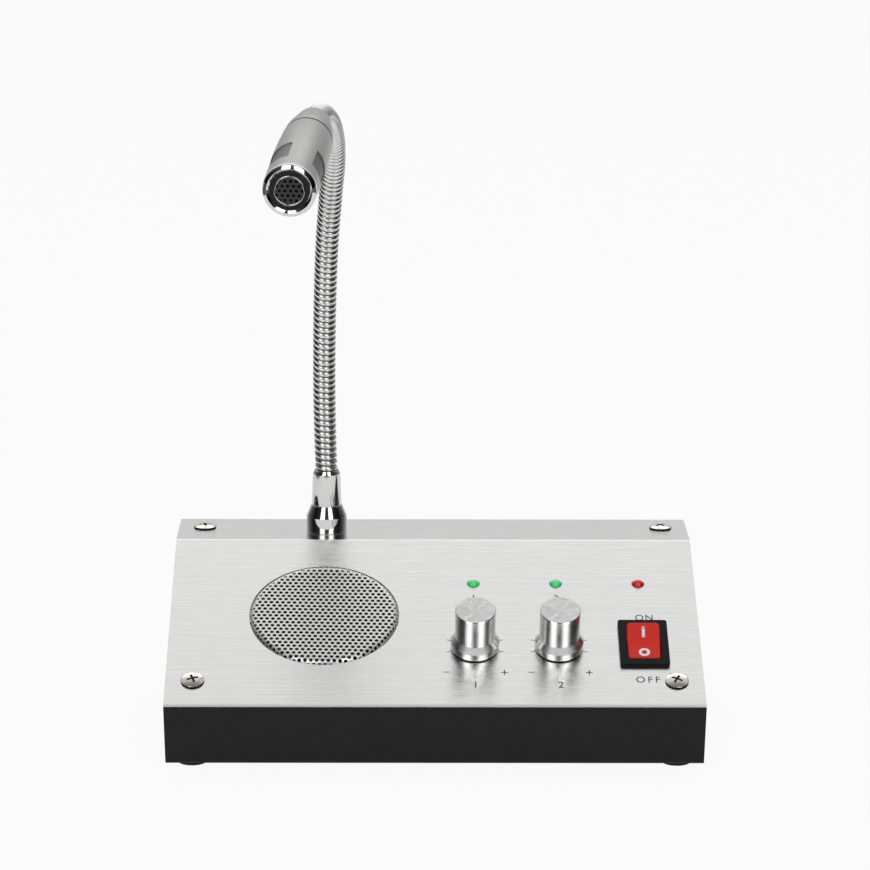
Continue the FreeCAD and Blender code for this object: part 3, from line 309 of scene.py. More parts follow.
def woven_mesh(name, threads):
    """Fine wire cloth laid round a turned sleeve: crossing wires, with painted shade in the openings between them."""
    finish = Finish(name, (0.3, 0.3, 0.3), 0.4, 1.0)
    turn, along, _ = finish.split(finish.node("ShaderNodeUVMap", uv_map="turning"))
    patches = finish.slow_change(4.0)
    openings = []
    for lean in (1.0, -1.0):
        phase = (turn * threads + along * (threads * lean * 10.0 / 36.9)) % 1.0
        openings.append(1.0 - finish.function("ABSOLUTE", phase * 2.0 - 1.0))
    hole = finish.function("MULTIPLY", openings[0], openings[1])
    hole = finish.node("ShaderNodeMapRange", {0: hole, 1: 0.2, 2: 0.5})
    # Painted shade: the openings between the wires are near black, for the dark inside of the head.
    finish.put(Base_Color=finish.mix((0.36, 0.36, 0.36), (0.01, 0.01, 0.01), hole * 0.95 + patches * 0.05),
               Roughness=0.5 + hole * 0.2)
    finishes[name] = finish


def lens(name, middle, rim, glow):
    """Tinted lens of a lamp: a painted glow in its middle stands for light showing through, and painted shade darkens
    its thick rim.
    """
    # Painted glow: the emission gives the lens a little light of its own colour.
    finish = Finish(name, middle, 0.12, 0.0, Coat_Weight=0.6, Emission_Color=(*middle, 1.0), Emission_Strength=glow)
    along = finish.split(finish.node("ShaderNodeUVMap", uv_map="turning"))[1]
    # Painted shade: the colour darkens from the middle out to the rim.
    painted_rim_shade = finish.node("ShaderNodeMapRange", {0: along, 1: 0.06, 2: 0.26})
    cloud = finish.slow_change(3.0)
    finish.put(Base_Color=finish.mix(middle, rim, painted_rim_shade * 0.9 + cloud * 0.1))
    finishes[name] = finish


def moulded(name, color, roughness, grain, size, coat=0.0, **sockets):
    """Moulded plastic or rubber: a fine spark texture, a little uneven in gloss."""
    finish = Finish(name, color, roughness, 0.0, Coat_Weight=coat, **sockets)
    spark = finish.noise(finish.place((1.0 / (size * MM),) * 3), detail=3.0, roughness=0.6)
    patches = finish.slow_change(14.0)
    paler = tuple(value * 1.35 + 0.002 for value in color)
    finish.put(Base_Color=finish.mix(color, paler, spark * 0.6 + patches * 0.4),
               Roughness=roughness - 0.05 + spark * 0.06 + patches * 0.04)
    if grain:
        finish.relief(spark, grain * MM)
    finishes[name] = finish


def brushed_panel(name):
    """Aluminium sheet brushed along its length: long fine scratches in two sizes."""
    finish = Finish(name, (0.83, 0.83, 0.825), 0.34, 1.0)
    depth = finish.split(finish.node("ShaderNodeTexCoord", output="Object"))[1]
    # Painted highlight: a thin strip along the front edge is white and not metallic, for the light the bent lip
    # catches.
    painted_lip_highlight = finish.function("LESS_THAN", depth, front_low.y + 0.45 * MM)
    fine = finish.noise(finish.place((30.0, 5200.0, 5200.0)), detail=4.0, roughness=0.65)
    broad = finish.noise(finish.place((9.0, 900.0, 900.0)), detail=3.0, roughness=0.6)
    cloud = finish.slow_change(60.0)
    streak = fine * 0.65 + broad * 0.35
    shade = finish.mix((0.76, 0.76, 0.755), (0.90, 0.90, 0.895), streak * 0.85 + cloud * 0.15)
    finish.put(Base_Color=finish.mix(shade, (0.9, 0.9, 0.9), painted_lip_highlight), Metallic=1.0 - painted_lip_highlight, Roughness=0.13 + streak * 0.04)
    finish.relief(streak, 0.07 * MM)
    finishes[name] = finish


brushed_panel("brushed_panel")
moulded("case_plastic", (0.0045, 0.0045, 0.005), 0.5, 0.05, 0.35, Specular_IOR_Level=0.3)
moulded("foot_rubber", (0.014, 0.014, 0.014), 0.75, 0.03, 0.6)
moulded("gasket_foam", (0.02, 0.02, 0.02), 0.9, 0.08, 0.8)
# The paper cone is black paper, made darker still as painted shade, since it shows only in the shade under the
# cover's holes.
moulded("paper_cone", (0.006, 0.006, 0.006), 0.9, 0.05, 0.5, Specular_IOR_Level=0.2)
moulded("magnet_ferrite", (0.05, 0.05, 0.052), 0.6, 0.04, 0.4)
moulded("board_laminate", (0.01, 0.12, 0.045), 0.4, 0.01, 1.2, coat=0.3)
moulded("switch_black", (0.005, 0.005, 0.005), 0.45, 0.01, 0.4, Specular_IOR_Level=0.12)
moulded("rocker_red", (0.68, 0.026, 0.016), 0.5, 0.004, 0.9, Specular_IOR_Level=0.25)
moulded("mic_black", (0.006, 0.006, 0.006), 0.5, 0.06, 0.3, Specular_IOR_Level=0.4)
moulded("boot_rubber", (0.02, 0.02, 0.02), 0.7, 0.02, 0.5)
moulded("chip_black", (0.02, 0.02, 0.02), 0.5, 0.02, 0.3)
moulded("jack_plastic", (0.015, 0.015, 0.015), 0.4, 0.01, 0.4)
moulded("capacitor_sleeve", (0.012, 0.02, 0.09), 0.3, 0.004, 0.8, coat=0.4)
# The last number of each lens is the strength of its painted glow.
lens("lamp_green", (0.09, 0.74, 0.24), (0.004, 0.12, 0.04), 0.3)
lens("lamp_red", (0.75, 0.02, 0.015), (0.2, 0.004, 0.003), 0.15)
moulded("print_black", (0.03, 0.03, 0.032), 0.6, 0.0, 0.3)
moulded("print_white", (0.85, 0.85, 0.84), 0.5, 0.0, 0.3)
metal("zinc_steel", (0.62, 0.64, 0.66), 0.35)
metal("grille_steel", (0.84, 0.84, 0.83), 0.38, grain=0.004)
metal("shaft_steel", (0.7, 0.7, 0.7), 0.3)
metal("pot_steel", (0.6, 0.6, 0.6), 0.35)
metal("terminal_brass", (0.75, 0.6, 0.32), 0.3)
woven_mesh("mic_mesh", 48.0)
metal("mic_disc", (0.14, 0.14, 0.14), 0.45, swing=0.5)
metal("capsule_metal", (0.6, 0.6, 0.6), 0.4)
metal("sink_aluminium", (0.5, 0.5, 0.52), 0.4, grain=0.01)
metal("pin_nickel", (0.75, 0.75, 0.72), 0.2)
wound_steel("tube_steel")
# Screw heads: painted shade in the cut cross recess, and a painted shade ring on the head's outer edge and side.
turned_metal("screw_nickel", (0.82, 0.78, 0.70), 0.14, 0.0, 300.0, cut=(0.015, 0.014, 0.012), painted_shade_span=(0.355, 2.0))
turned_metal("knob_aluminium", (0.91, 0.91, 0.905), 0.15, 0.16, 600.0, cut=(0.9, 0.9, 0.89), bright=(0.6, 0.632))
turned_metal("neck_chrome", (0.78, 0.78, 0.775), 0.07, 0.0004, 600.0, swing=0.03)
# The satin of the microphone head takes painted shade in the groove between its two lengths.
turned_metal("mic_satin", (0.46, 0.46, 0.455), 0.32, 0.006, 900.0, swing=0.05, painted_shade_span=(0.001, 0.194))
turned_metal("mic_chrome", (0.82, 0.82, 0.815), 0.06, 0.0004, 600.0, swing=0.03)
print(len(finishes), "finishes")

for part in frame["record"]["subparts"]:
    node = nodes[part["node"]]
    node.data.materials.clear()
    node.data.materials.append(finishes[part["material_slot"]].material)

# %% [markdown]
# ## Turned pieces
# Knobs, collars and lamps are bodies of revolution. Their outline is a short list of corners, each with the
# radius of its rounding, and a ring of points is made for each point of the rounded outline. The same walk
# along the outline gives the turning map. Three helpers come first, for steps that every later cell needs.


# %% A lathe
def placed(name, data):
    """A new object in the scene."""
    made = bpy.data.objects.new(name, data)
    bpy.context.scene.collection.objects.link(made)
    return made


def evaluated(made):
    """What an object shows, with its modifiers worked in, as a new mesh."""
    bpy.context.view_layer.update()
    return bpy.data.meshes.new_from_object(made.evaluated_get(bpy.context.evaluated_depsgraph_get()))


def taken(work, transform=None):
    """The mesh that a bmesh holds."""
    if transform:
        work.transform(transform)
    mesh = bpy.data.meshes.new("mesh")
    work.to_mesh(mesh)
    work.free()
    return mesh


def rounded(corners, steps=5):
    """Corners of (radius, height, rounding) as a smooth outline of (radius, height) points."""
    outline = []
    for index, (radius, height, rounding) in enumerate(corners):
        here = Vector((radius, height))
        if not rounding:
            outline.append(here)
            continue
        before = (Vector(corners[index - 1][:2]) - here).normalized()
        after = (Vector(corners[(index + 1) % len(corners)][:2]) - here).normalized()
        half = before.angle(after) / 2
        centre = here + (before + after).normalized() * rounding / math.sin(half)
        first = here + before * rounding / math.tan(half) - centre
        last = here + after * rounding / math.tan(half) - centre
        sweep = first.angle(last)
        for step in range(steps + 1):
            share = step / steps
            arm = (first * math.sin((1 - share) * sweep) + last * math.sin(share * sweep)) / math.sin(sweep)
            outline.append(centre + arm)
    return outline


def lathe(corners, place, segments=96, steps=5):
    """Turn an outline in millimetres about Z at a place. It is closed where it doesn't start on the axis."""
    outline = rounded(corners, steps)
    closed = corners[0][0] > 0
    work = bmesh.new()
    turning = work.loops.layers.uv.new("turning")
    rings = []
    travel = [0.0]
    for first, second in zip(outline, outline[1:]):
        travel.append(travel[-1] + (second - first).length)
    if closed:
        outline = outline + outline[:1]
        travel.append(travel[-1] + (outline[-1] - outline[-2]).length)
    for index, (radius, height) in enumerate(outline):
        if closed and index == len(outline) - 1:
            rings.append(rings[0])
        elif radius < 1e-6:
            rings.append([work.verts.new((0.0, 0.0, height))] * segments)
        else:
            angles = [math.tau * step / segments for step in range(segments)]
            rings.append([work.verts.new((radius * math.cos(a), radius * math.sin(a), height)) for a in angles])
    for lower, upper, low, high in zip(rings, rings[1:], travel, travel[1:]):
        for step in range(segments):
            after = (step + 1) % segments
            loop = [(lower[step], step, low), (lower[after], step + 1, low),
                    (upper[after], step + 1, high), (upper[step], step, high)]
            kept = [entry for index, entry in enumerate(loop) if entry[0] is not loop[index - 1][0]]
            face = work.faces.new([entry[0] for entry in kept])
            for corner, (_, turn, along) in zip(face.loops, kept):
                corner[turning].uv = (turn / segments, along / 10.0)
    bmesh.ops.recalc_face_normals(work, faces=work.faces)
    return taken(work, place @ Matrix.Scale(MM, 4))


def piece(name, mesh, body, slot, finish=None, replaced=(), sharp=35.0):
    """Put a mesh in the scene as a piece that rides on a body."""
    mesh.name = name
    made = placed(name, mesh)
    mesh.materials.clear()
    mesh.materials.append(finishes[finish or slot].material)
    mesh.shade_smooth()
    mesh.set_sharp_from_angle(angle=math.radians(sharp))
    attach(made, body)
    if replaced:
        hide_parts(*replaced)
    print(name, len(mesh.polygons), "faces")


# %% [markdown]
# ## Cutting
# A slot, a recess or a vent is cut out of a turned blank with a boolean modifier. Its exact solver copes with
# faces that touch, and the result is taken as a plain mesh, because a finished piece carries no modifier.

# %% Blocks and booleans
def applied(made, *helpers):
    """The mesh of an object with its modifiers worked in. The object and its helpers are removed."""
    mesh = evaluated(made)
    for spare in (made, *helpers):
        bpy.data.objects.remove(spare)
    return mesh


def cut_away(mesh, cutters):
    """Take cutter meshes out of a mesh with booleans."""
    solid = placed("solid", mesh)
    tools = [placed("tool", cutter) for cutter in cutters]
    for tool in tools:
        cut = solid.modifiers.new("cut", "BOOLEAN")
        cut.object, cut.operation, cut.solver = tool, "DIFFERENCE", "EXACT"
    return applied(solid, *tools)


def block(size, place):
    """A box of a size in millimetres at a place."""
    work = bmesh.new()
    bmesh.ops.create_cube(work, size=1.0)
    return taken(work, place @ Matrix.Scale(MM, 4) @ Matrix.Diagonal((*size, 1.0)))


# %% [markdown]
# ## Volume knobs
# Each knob has a straight polished side, a flared skirt with a short rim and a spun top with a bright thin
# edge. The pointer is a narrow slot milled from the top's edge towards the middle, cut here with a boolean.

# %% Two knobs
knob_low, knob_high, knob_radius = 0.5, 14.7, 6.25
knob_corners = [(0.0, knob_high, 0.0), (6.0, knob_high, 0.04), (knob_radius, knob_high - 0.2, 0.04),
                (knob_radius, 4.8, 0.15), (7.53, 2.7, 0.1), (7.55, knob_low, 0.1), (6.2, knob_low, 0.0),
                (6.2, 3.9, 0.0), (3.03, 3.9, 0.0), (3.03, 11.0, 0.0), (0.0, 11.0, 0.0)]
pointer_length, pointer_width, pointer_depth, pointer_angle = 2.5, 0.5, 0.12, 240.0
for name, (x, up, _) in zip(("inside", "outside"), knob_places):
    place = on_panel(x, up)
    pointer = place @ Matrix.Rotation(math.radians(pointer_angle), 4, "Z")
    pointer = pointer @ Matrix.Translation(Vector((knob_radius - pointer_length / 2 + 0.1, 0.0, knob_high)) * MM)
    mill = block((pointer_length, pointer_width, pointer_depth * 2), pointer)
    node = name + "_volume_knob"
    piece(node + "_turned", cut_away(lathe(knob_corners, place, 120), [mill]), name + "_volume", "knob_aluminium",
          replaced=[node])

# %% [markdown]
# ## A recipe for whatever repeats
# Screws, dial marks, perforations and the ribs of the gooseneck repeat by a rule, so each is grown by Geometry
# Nodes. A recipe is such a tree with named inputs. Running it gives a plain mesh, because the piece that rides
# on a body should carry no modifier.

# %% Recipes
class Recipe(Wiring):
    """A Geometry Nodes tree with named inputs, run to give a mesh."""

    def __init__(self, name, **inputs):
        super().__init__(bpy.data.node_groups.new(name, "GeometryNodeTree"))
        face = self.tree.interface
        face.new_socket("Geometry", in_out="INPUT", socket_type="NodeSocketGeometry")
        face.new_socket("Geometry", in_out="OUTPUT", socket_type="NodeSocketGeometry")
        self.ids = {label: face.new_socket(label, in_out="INPUT", socket_type="NodeSocket" + kind).identifier
                    for label, kind in inputs.items()}
        start = self.tree.nodes.new("NodeGroupInput")
        self.inlet = {socket.name: Value(self, socket) for socket in start.outputs if socket.name}

    def moved(self, geometry, position):
        return self.node("GeometryNodeSetPosition", {"Geometry": geometry, "Position": position})

    def above(self, first, second):
        return self.node("FunctionNodeCompare", {0: first, 1: second}, operation="GREATER_THAN", data_type="FLOAT")

    def close(self, geometry):
        """End the tree: real geometry in the finish that was asked for."""
        real = self.node("GeometryNodeRealizeInstances", {0: geometry})
        dressed = self.node("GeometryNodeSetMaterial", {"Geometry": real, "Material": self.inlet["finish"]})
        end = self.tree.nodes.new("NodeGroupOutput")
        self.tree.links.new(dressed.socket, end.inputs[0])

    def run(self, points=None, **values):
        """Grow a mesh, starting from nothing or from a mesh of points."""
        carrier = placed("carrier", points or bpy.data.meshes.new("carrier"))
        modifier = carrier.modifiers.new("recipe", "NODES")
        modifier.node_group = self.tree
        for label, value in values.items():
            modifier[self.ids[label]] = value
        return applied(carrier)


copies = Recipe("copies_at_places", part="Object", finish="Material")
spun = copies.node("FunctionNodeEulerToRotation", {0: copies.node(
    "GeometryNodeInputNamedAttribute", {"Name": "turn"}, data_type="FLOAT_VECTOR")})
copies.close(copies.node("GeometryNodeInstanceOnPoints", {
    "Points": copies.inlet["Geometry"], "Rotation": spun,
    "Instance": copies.node("GeometryNodeObjectInfo", {"Object": copies.inlet["part"]}, "Geometry")}))


def copied(mesh, places, finish):
    """Copies of a mesh at places given as matrices, as one mesh."""
    part = placed("part", mesh)
    points = bpy.data.meshes.new("places")
    points.from_pydata([place.translation for place in places], [], [])
    turns = points.attributes.new("turn", "FLOAT_VECTOR", "POINT")
    turns.data.foreach_set("vector", [value for place in places for value in place.to_euler()])
    grown = copies.run(points, part=part, finish=finishes[finish].material)
    bpy.data.objects.remove(part)
    return grown


# %% [markdown]
# ## Panel screws
# Four pan head screws with a cross recess hold the panel. One head is turned and its cross is cut, then the
# recipe sets it at the four places, each turned its own way as a hand leaves them.

# %% Screws
bend_up = 78.25
bend = on_panel(0.0, bend_up).translation


def on_strip(x, behind, above=0.0):
    """Place on the flat strip behind the bend, given in millimetres."""
    return Matrix.Translation(bend + Vector((x, behind, above)) * MM)


head_radius, head_height, head_edge, dome_steps = 3.55, 1.15, 0.45, 14
dome_radius = (head_radius ** 2 + (head_height - head_edge) ** 2) / (2.0 * (head_height - head_edge))
dome = [step / dome_steps * math.asin(head_radius / dome_radius) for step in range(dome_steps + 1)]
dome = [(dome_radius * math.sin(lean), head_height - dome_radius * (1.0 - math.cos(lean)), 0.0) for lean in dome]
head = lathe(dome + [(head_radius, 0.0, 0.0), (0.0, 0.0, 0.0)], Matrix(), 64)
arm_length, arm_width, recess_depth = 3.6, 0.75, 0.7
recess = Matrix.Translation((0.0, 0.0, (1.2 - recess_depth / 2) * MM))
arms = [block(size, recess) for size in
        ((arm_length, arm_width, recess_depth), (arm_width, arm_length, recess_depth))]
head = cut_away(head, arms)
screw_turns = (20.0, 62.0, 8.0, 41.0)
screw_side, screw_up, screw_behind = 73.65, 10.95, 15.3
screw_places = [on_panel(-screw_side, screw_up), on_panel(screw_side, screw_up),
                on_strip(-screw_side, screw_behind), on_strip(screw_side, screw_behind)]
screw_places = [place @ Matrix.Rotation(math.radians(turn), 4, "Z") for place, turn in
                zip(screw_places, screw_turns)]
piece("panel_screw_heads", copied(head, screw_places, "screw_nickel"), "case", "screw_nickel",
      replaced=["panel_screws"])

# %% [markdown]
# ## Lamps
# Each lamp is a small dome pushed up through the panel. A glossy coloured dome with a coat is enough. Its middle
# has a little painted glow and its rim painted shade, in place of daylight falling through tinted plastic.

# %% Lamps
lamp_columns = {"inside_lamp": 12.4, "outside_lamp": 38.29, "power_lamp": 64.19}
lamp_up, lamp_rise, lamp_radius = 56.6, 1.25, 2.0
for name, x in lamp_columns.items():
    dome = lathe([(0.0, lamp_rise, 0.0), (lamp_radius, lamp_rise, 1.95), (lamp_radius, -0.8, 0.0), (2.5, -0.8, 0.0),
                  (2.5, -1.8, 0.0), (0.0, -1.8, 0.0)], on_panel(x, lamp_up), 48, steps=14)
    piece(name + "_dome", dome, "case", "lamp_red" if name == "power_lamp" else "lamp_green", replaced=[name])

# %% [markdown]
# ## Print on the panel
# The dials have fine printed marks that show their ends and steps, and the switch has ON and OFF. Print is ink
# a few hundredths of a millimetre thick, so each mark is a thin plate that stands just proud of the metal.
# Letters start as text objects and are turned to meshes before they are put in place.

# %% Ink
ink_height = 0.02


def lettering(text, place, height, width=None, spacing=1.0):
    """Text of a cap height and, where given, a full width in millimetres, centred on a place."""
    font = bpy.data.curves.new("lettering", "FONT")
    font.body = text
    font.extrude = 0.01
    font.space_character = spacing
    mesh = applied(placed("lettering", font))
    spots = np.array([vertex.co for vertex in mesh.vertices])
    low, high = spots.min(axis=0), spots.max(axis=0)
    centre = Vector((low + high) / 2)
    tall = height * MM / (high[1] - low[1])
    wide = width * MM / (high[0] - low[0]) if width else tall
    size = Vector((wide, tall, 2 * ink_height * MM / 0.02))
    mesh.transform(place @ Matrix.Diagonal((*size, 1.0)) @ Matrix.Translation(-centre))
    return mesh


def joined(meshes):
    """Several meshes as one."""
    work = bmesh.new()
    for mesh in meshes:
        work.from_mesh(mesh)
        bpy.data.meshes.remove(mesh)
    return taken(work)


# %% Dial marks, signs and letters
tick = block((1.35, 0.22, 2 * ink_height), Matrix())
tick_places = []
for x, up, _ in knob_places:
    for step in range(9):
        angle = Matrix.Rotation(math.radians(-54.0 + 36.0 * step), 4, "Z")
        tick_places.append(on_panel(x, up + 0.2) @ angle @ Matrix.Translation((8.4 * MM, 0.0, 0.0)))
signs = []
for x in (3.65, 29.49):
    signs.append(block((2.0, 0.26, 2 * ink_height), on_panel(x, 15.0)))
for x in (21.25, 47.12):
    signs.append(block((2.1, 0.3, 2 * ink_height), on_panel(x, 14.9)))
    signs.append(block((0.34, 2.2, 2 * ink_height), on_panel(x, 14.9)))
letters = [lettering("ON", on_panel(65.2, 40.45), 2.7, 5.4, 1.15),
           lettering("OFF", on_panel(64.95, 11.7), 2.7, 7.3, 1.3)]
for number, x in (("1", 12.4), ("2", 38.3)):
    letters += [lettering(number, on_panel(x, 9.3), 2.7), lettering(number, on_panel(x, 49.8), 2.6)]
piece("panel_print", joined([copied(tick, tick_places, "print_black")] + signs + letters), "case", "brushed_panel",
      "print_black", sharp=30.0)

# %% [markdown]
# ## The rocker and its signs
# The rocker's face is a shallow valley with rounded corners and a soft edge, and its ends follow a circle about
# the pin it rocks on. It is a stack of rounded outlines. The rocker stands tilted at rest by a given angle about
# the pin, whose place the frame's joint gives. A stroke and a ring are printed in white on the two halves of its
# face.

# %% Rocker, stroke and ring
pivot = from_panel @ Vector(joints["rocker_press"]["pos_m"]) / MM
rocker_face, rocker_rise, rocker_tilt = 11.0, 1.55, 12.0
rocker_middle = on_panel(pivot.x, pivot.y, pivot.z) @ Matrix.Rotation(math.radians(rocker_tilt), 4, "X")


def on_rocker(side, out, above=0.0):
    """Place on one half of the rocker: side is 1 for the rear half and -1 for the front half."""
    hinge = rocker_middle @ Matrix.Translation((0.0, 0.0, rocker_rise * MM))
    lean = Matrix.Rotation(side * math.radians(rocker_face), 4, "X")
    return hinge @ lean @ Matrix.Translation(Vector((0.0, side * out, above)) * MM)


half_width, half_length, swing_radius, rocker_drop, valley = 5.0, 7.0, 7.58, 3.2, 1.2
corner_radius, bulge, edge_round = 1.1, 0.12, 0.55


def face_height(y):
    """Height of the rocker's face over its pin: two slopes that meet in a soft valley."""
    return rocker_rise + math.tan(math.radians(rocker_face)) * (math.hypot(y, valley) - valley)


outline = []
for quarter in range(4):
    side_x, side_y = (1, 1, -1, -1)[quarter], (-1, 1, 1, -1)[quarter]
    arc = [math.radians(90.0 * (quarter - 1) + 10.0 * step) for step in range(10)]
    outline += [(side_x * (half_width - corner_radius) + corner_radius * math.cos(angle),
                 side_y * (half_length - corner_radius) + corner_radius * math.sin(angle)) for angle in arc]
    if quarter % 2 == 0:
        outline += [(side_x * half_width, side_x * (half_length - corner_radius) * (step / 10.0 - 1.0))
                    for step in range(1, 20)]
outline = [(x * (1.0 + bulge / half_width * (1.0 - (y / half_length) ** 2)), y) for x, y in outline]
rings = []
for share in (1.0, 0.75, 0.5, 0.25):
    ring = []
    for x, y in outline:
        z = (face_height(y) - edge_round) * (1.0 - share) - rocker_drop * share
        ring.append((x, y / half_length * math.sqrt(swing_radius ** 2 - z ** 2), z))
    rings.append(ring)
for step in range(7):
    turn = math.radians(15.0 * step)
    inset = edge_round * (1.0 - math.cos(turn))
    rings.append([(x * (1.0 - inset / half_width), y * (1.0 - inset / half_length),
                   face_height(y) - edge_round * (1.0 - math.sin(turn))) for x, y in outline])
for share in (0.85, 0.7, 0.55, 0.4, 0.25, 0.1):
    rings.append([(x * share, y * share, face_height(y * share)) for x, y in outline])
work = bmesh.new()
loops = [[work.verts.new(spot) for spot in ring] for ring in rings]
for lower, upper in zip(loops, loops[1:]):
    for index in range(len(outline)):
        work.faces.new((lower[index - 1], lower[index], upper[index], upper[index - 1]))
work.faces.new(reversed(loops[0]))
work.faces.new(loops[-1])
bmesh.ops.recalc_face_normals(work, faces=work.faces)
piece("rocker_button", taken(work, rocker_middle @ Matrix.Scale(MM, 4)), "rocker", "rocker_red", replaced=["rocker"],
      sharp=50.0)

above_face = 0.06 - math.tan(math.radians(rocker_face)) * valley
stroke_out, stroke_width, stroke_length = 3.7, 0.9, 2.9
stroke = block((stroke_width, stroke_length, 2 * ink_height), on_rocker(1, stroke_out, above_face))
ends = [lathe([(0.0, ink_height, 0.0), (stroke_width / 2, ink_height, 0.0), (stroke_width / 2, -ink_height, 0.0),
               (0.0, -ink_height, 0.0)], on_rocker(1, stroke_out + side * stroke_length / 2, above_face), 24)
        for side in (-1, 1)]
ring = lathe([(0.85, -ink_height, 0.0), (1.75, -ink_height, 0.0), (1.75, ink_height, 0.0), (0.85, ink_height, 0.0)],
             on_rocker(-1, 4.15, above_face), 48)
piece("rocker_print", joined([stroke, ring] + ends), "rocker", "rocker_red", "print_white")

# %% [markdown]
# ## Perforated sheet
# The loudspeaker's cover and the microphone's front disc are punched sheet: round holes in staggered rows. A
# boolean for hundreds of holes is slow. Here one cell of the pattern, a hexagon with a round hole, is set on a
# staggered grid and the cells are merged. The flat sheet is then wrapped over the cover's rounded edge, so the
# holes stretch there as they do in the press.

# %% Recipe for perforated sheet
punched = Recipe("punched_sheet", pitch="Float", hole="Float", rows="Int", reach="Float", flat="Float",
                 bend="Float", finish="Material")
inlet = punched.inlet
cell = punched.node("GeometryNodeMeshCylinder", {"Vertices": 12, "Radius": 1.0, "Depth": 2.0}, fill_type="NONE")
spot = punched.node("GeometryNodeInputPosition")
rim = punched.above(punched.split(spot)[2], 0.0)
corner = punched.node("GeometryNodeInputIndex") % 2.0
edge_radius = (corner * (1.0 / math.cos(math.pi / 6) - 1.0) + 1.0) * inlet["pitch"] * 0.5
cell_radius = punched.node("GeometryNodeSwitch", {"Switch": rim, "False": edge_radius, "True": inlet["hole"] * 0.5},
                           input_type="FLOAT")
flattened = punched.vector("MULTIPLY", spot, (1.0, 1.0, 0.0))
ringed = punched.scaled(flattened, cell_radius)
cell = punched.moved(cell, ringed)
count = punched.node("GeometryNodeInputIndex")
row = punched.function("FLOOR", count / inlet["rows"])
middle = (inlet["rows"] - 1.0) * 0.5
grid_x = (count % inlet["rows"] - middle + (row % 2.0) * 0.5 - 0.25) * inlet["pitch"]
grid_y = (row - middle) * inlet["pitch"] * math.cos(math.pi / 6)
grid = punched.node("GeometryNodePoints", {"Count": inlet["rows"] * inlet["rows"],
                                           "Position": punched.join(grid_x, grid_y, 0.0)})
outside = punched.above(punched.vector("LENGTH", spot, output="Value"), inlet["reach"] + inlet["pitch"] * 0.5)
grid = punched.node("GeometryNodeDeleteGeometry", {"Geometry": grid, "Selection": outside})
sheet = punched.node("GeometryNodeInstanceOnPoints", {"Points": grid, "Instance": cell})
sheet = punched.node("GeometryNodeRealizeInstances", {0: sheet})
sheet = punched.node("GeometryNodeMergeByDistance", {"Geometry": sheet, "Distance": inlet["pitch"] * 0.02})
along = punched.function("MINIMUM", punched.vector("LENGTH", spot, output="Value"), inlet["reach"])
over = punched.function("MAXIMUM", along - inlet["flat"], 0.0) / inlet["bend"]
over = punched.function("MINIMUM", over, math.pi / 2)
radius = punched.function("MINIMUM", along, inlet["flat"]) + inlet["bend"] * punched.function("SINE", over)
drop = inlet["bend"] * (1.0 - punched.function("COSINE", over))
drop = drop + punched.function("MAXIMUM", along - inlet["flat"] - inlet["bend"] * (math.pi / 2), 0.0)
outward = punched.scaled(punched.vector("NORMALIZE", spot), radius)
wrapped = punched.vector("SUBTRACT", outward, punched.join(0.0, 0.0, drop))
punched.close(punched.moved(sheet, wrapped))


def faced_outward(mesh, outwardness):
    """Turn the faces of a mesh outward. The sum of what a function gives for each is negative if they look inward."""
    work = bmesh.new()
    work.from_mesh(mesh)
    bmesh.ops.recalc_face_normals(work, faces=work.faces)
    if sum(outwardness(face) for face in work.faces) < 0:
        bmesh.ops.reverse_faces(work, faces=work.faces)
    work.to_mesh(mesh)
    work.free()
    return mesh


def sheet_of(finish, place, thickness, **sizes):
    """Perforated sheet of a thickness at a place. Its sizes are in millimetres; its face is the outside."""
    lengths = {name: value if name == "rows" else value * MM for name, value in sizes.items()}
    mesh = punched.run(finish=finishes[finish].material, **lengths)
    carrier = placed("sheet", faced_outward(mesh, lambda face: face.normal.z))
    wall = carrier.modifiers.new("thickness", "SOLIDIFY")
    wall.thickness, wall.offset = thickness * MM, -1.0
    mesh = applied(carrier)
    mesh.transform(place)
    return mesh


# %% The loudspeaker's cover
cover_x, cover_up, cover_outer, cover_rise, cover_corner = -34.19, 41.56, 23.2, 0.8, 2.0
cover_place = on_panel(cover_x, cover_up, cover_rise) @ Matrix.Rotation(math.radians(-1.5), 4, "Z")
cover = sheet_of("grille_steel", cover_place, 0.5, pitch=1.8, hole=1.24, rows=31, reach=25.0,
                 flat=cover_outer - cover_corner, bend=cover_corner)
piece("speaker_cover", cover, "case", "grille_steel", replaced=["speaker_grille"], sharp=40.0)
flange = lathe([(22.5, -0.9, 0.0), (25.2, -0.9, 0.0), (25.2, -1.3, 0.0), (22.5, -1.3, 0.0)],
               on_panel(cover_x, cover_up))
piece("speaker_cover_flange", flange, "case", "grille_steel", replaced=["speaker_grille"])

# %% [markdown]
# ## The ribbed gooseneck
# The bending tube is wound from wire, so its ribs are one long helix. The frame gives the places where the CAD
# tube bends. A smooth curve through them is the tube's middle line. The recipe samples that curve, puts rings
# of points round it and lets each point stand out by the winding's profile. It is run once for each bend, from
# the middle of one rigid length to the middle of the next.

